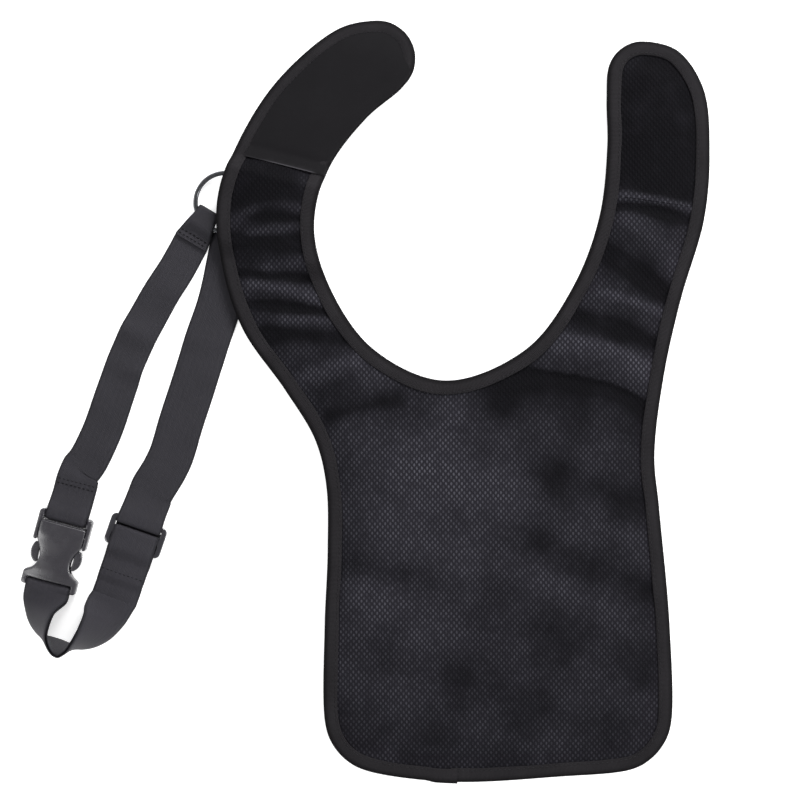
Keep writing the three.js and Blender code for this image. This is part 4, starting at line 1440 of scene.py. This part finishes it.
def female_half():
    """The hourglass body, domed across, with the hood that reaches over the male base."""
    half, (end, bar_high), mouth = FEMALE["half"], FEMALE["bar"], FEMALE["mouth"]
    hood, hood_end = HOOD["half"], HOOD["end"]
    right = [
        (half, end, half, end + 2),
        (half, -17.4),
        (half, -16.2, 16.6, -15.2),
        (14, -14.2, 12.2, -11.5),
        (8, -4.5, 14, 4.2),
        (hood, 5.8, hood, 8),
        (hood, hood_end - 1.2),
        (hood, hood_end, hood - 1.2, hood_end),
        (0, hood_end),
    ]
    outline = mirrored(drawn((0, end), (half - 2, end), *right))
    slot = strap_slot(FEMALE["slot_half"], bar_high, FEMALE["slot_end"])

    def heights(points):
        x, y = points[:, 0], points[:, 1]
        foot, top = 0.4, 9.9
        bar = smooth((FEMALE["slot_half"] + 0.4 - np.abs(x)) / 0.8) * smooth((bar_high + 0.4 - y) / 0.8)
        waist = 12.0 + 5.0 * smooth(np.abs(y + 4) / 18)
        dome = (1.5 - 0.9 * smooth((y - 6) / 6)) * np.clip(np.abs(x) / waist, 0, 1.2) ** 2.4
        towards_bar = 0.7 * smooth((-y - 12) / 8)
        high = top - dome - towards_bar
        low = foot + (HOOD["low"] - foot) * smooth((y - mouth) / 0.4)
        return low + (BAR_Z[0] - low) * bar, high + (BAR_Z[1] - high) * bar

    made = moulded("buckle_female_body", [outline, slot], buckle, heights, 0.95, 0.9)
    hollow_half, hollow_end, hollow_z = 14.2, -12, (2.4, 7.25)
    made = carve(made, buckle, (-hollow_half, hollow_half), (hollow_end, mouth + 0.3), hollow_z)
    fitted(made, "buckle_plastic", "female", "buckle_female")


def slider():
    """A flat frame with a bar across its middle."""
    width, length = GLIDE_SIZE
    slot_half, slot_length = GLIDE_SLOT[0] / 2, GLIDE_SLOT[1]
    near = GLIDE_BAR / 2
    outline = rounded_box(-width / 2, width / 2, -length / 2, length / 2, 3.6)
    upper = strap_slot(slot_half, near, near + slot_length)
    lower = strap_slot(slot_half, -near - slot_length, -near)
    made = moulded("slider_body", [outline, upper, lower], glide, level(*GLIDE_Z), 0.7, 0.9)
    fitted(made, "slider_plastic", "slider", "tri_glide")


# ---- Stage, light and camera ----

VIEW_MIDDLE = (22.7, 1.0)
VIEW_WIDTH = 533.3
CAMERA_HEIGHT = 1150.0
SENSOR = 36.0
FLOOR_Z = -0.2


def stage():
    """A plain white floor, which glows a little so that it stays white to the picture's edge."""
    size = 4.0
    mesh = bpy.data.meshes.new("floor")
    corners = [(-size, -size), (size, -size), (size, size), (-size, size)]
    mesh.from_pydata([(x, y, FLOOR_Z * 0.001) for x, y in corners], [], [(0, 1, 2, 3)])
    floor = bpy.data.objects.new("floor", mesh)
    bpy.context.scene.collection.objects.link(floor)
    s = Shader("paper")
    s.principled.inputs["Emission Color"].default_value = (1, 1, 1, 1)
    s.finish((0.86, 0.86, 0.86), 0.9, Emission_Strength=0.62, Specular_IOR_Level=0.1)
    mesh.materials.append(s.material)


def area_light(name, place, size, power):
    """A round soft light that shines on the middle of the object."""
    light = bpy.data.lights.new(name, "AREA")
    light.shape = "DISK"
    light.size = size
    light.energy = power
    obj = bpy.data.objects.new(name, light)
    obj.location = place
    obj.rotation_euler = (-Vector(place)).to_track_quat("-Z", "Y").to_euler()
    bpy.context.scene.collection.objects.link(obj)


def lights():
    """Soft studio light: a white room and three round lamps."""
    world = bpy.data.worlds.new("studio")
    bpy.context.scene.world = world
    world.use_nodes = True
    tree = world.node_tree
    background = tree.nodes["Background"]
    background.inputs["Color"].default_value = (1.0, 1.0, 1.0, 1)
    # A dark ceiling over bright walls, so level surfaces stay deep and slopes catch light.
    direction = tree.nodes.new("ShaderNodeTexCoord")
    split = tree.nodes.new("ShaderNodeSeparateXYZ")
    ramp = tree.nodes.new("ShaderNodeMapRange")
    tree.links.new(direction.outputs["Generated"], split.inputs[0])
    tree.links.new(split.outputs["Z"], ramp.inputs["Value"])
    for name, value in {"From Min": 0.45, "From Max": 0.95, "To Min": 0.95, "To Max": 0.3}.items():
        ramp.inputs[name].default_value = value
    tree.links.new(ramp.outputs[0], background.inputs["Strength"])
    area_light("key", (0.5, 1.3, 0.75), 0.6, 24)
    area_light("side", (1.3, -0.2, 0.7), 0.5, 12)
    area_light("fill", (-1.1, -0.5, 0.9), 0.9, 7)


def camera():
    """Straight above the object, framing a square of the surface VIEW_WIDTH wide."""
    data = bpy.data.cameras.new("camera")
    data.sensor_width = SENSOR
    data.lens = SENSOR * CAMERA_HEIGHT / VIEW_WIDTH
    data.dof.use_dof = False
    obj = bpy.data.objects.new("camera", data)
    x, y = VIEW_MIDDLE
    obj.location = (x * 0.001, y * 0.001, CAMERA_HEIGHT * 0.001)
    bpy.context.scene.collection.objects.link(obj)
    bpy.context.scene.camera = obj


camera()
lights()
stage()
panel_layers()
loop_patch()
hook_patch()
edge_tapes()
upper_strap()
anchor_loop()
long_strap()
sewn_end()
turned_loop()
ring()
male_half()
prong(-1, "prong_left_arm")
prong(1, "prong_right_arm")
female_half()
slider()
bpy.context.scene.view_settings.view_transform = "Standard"
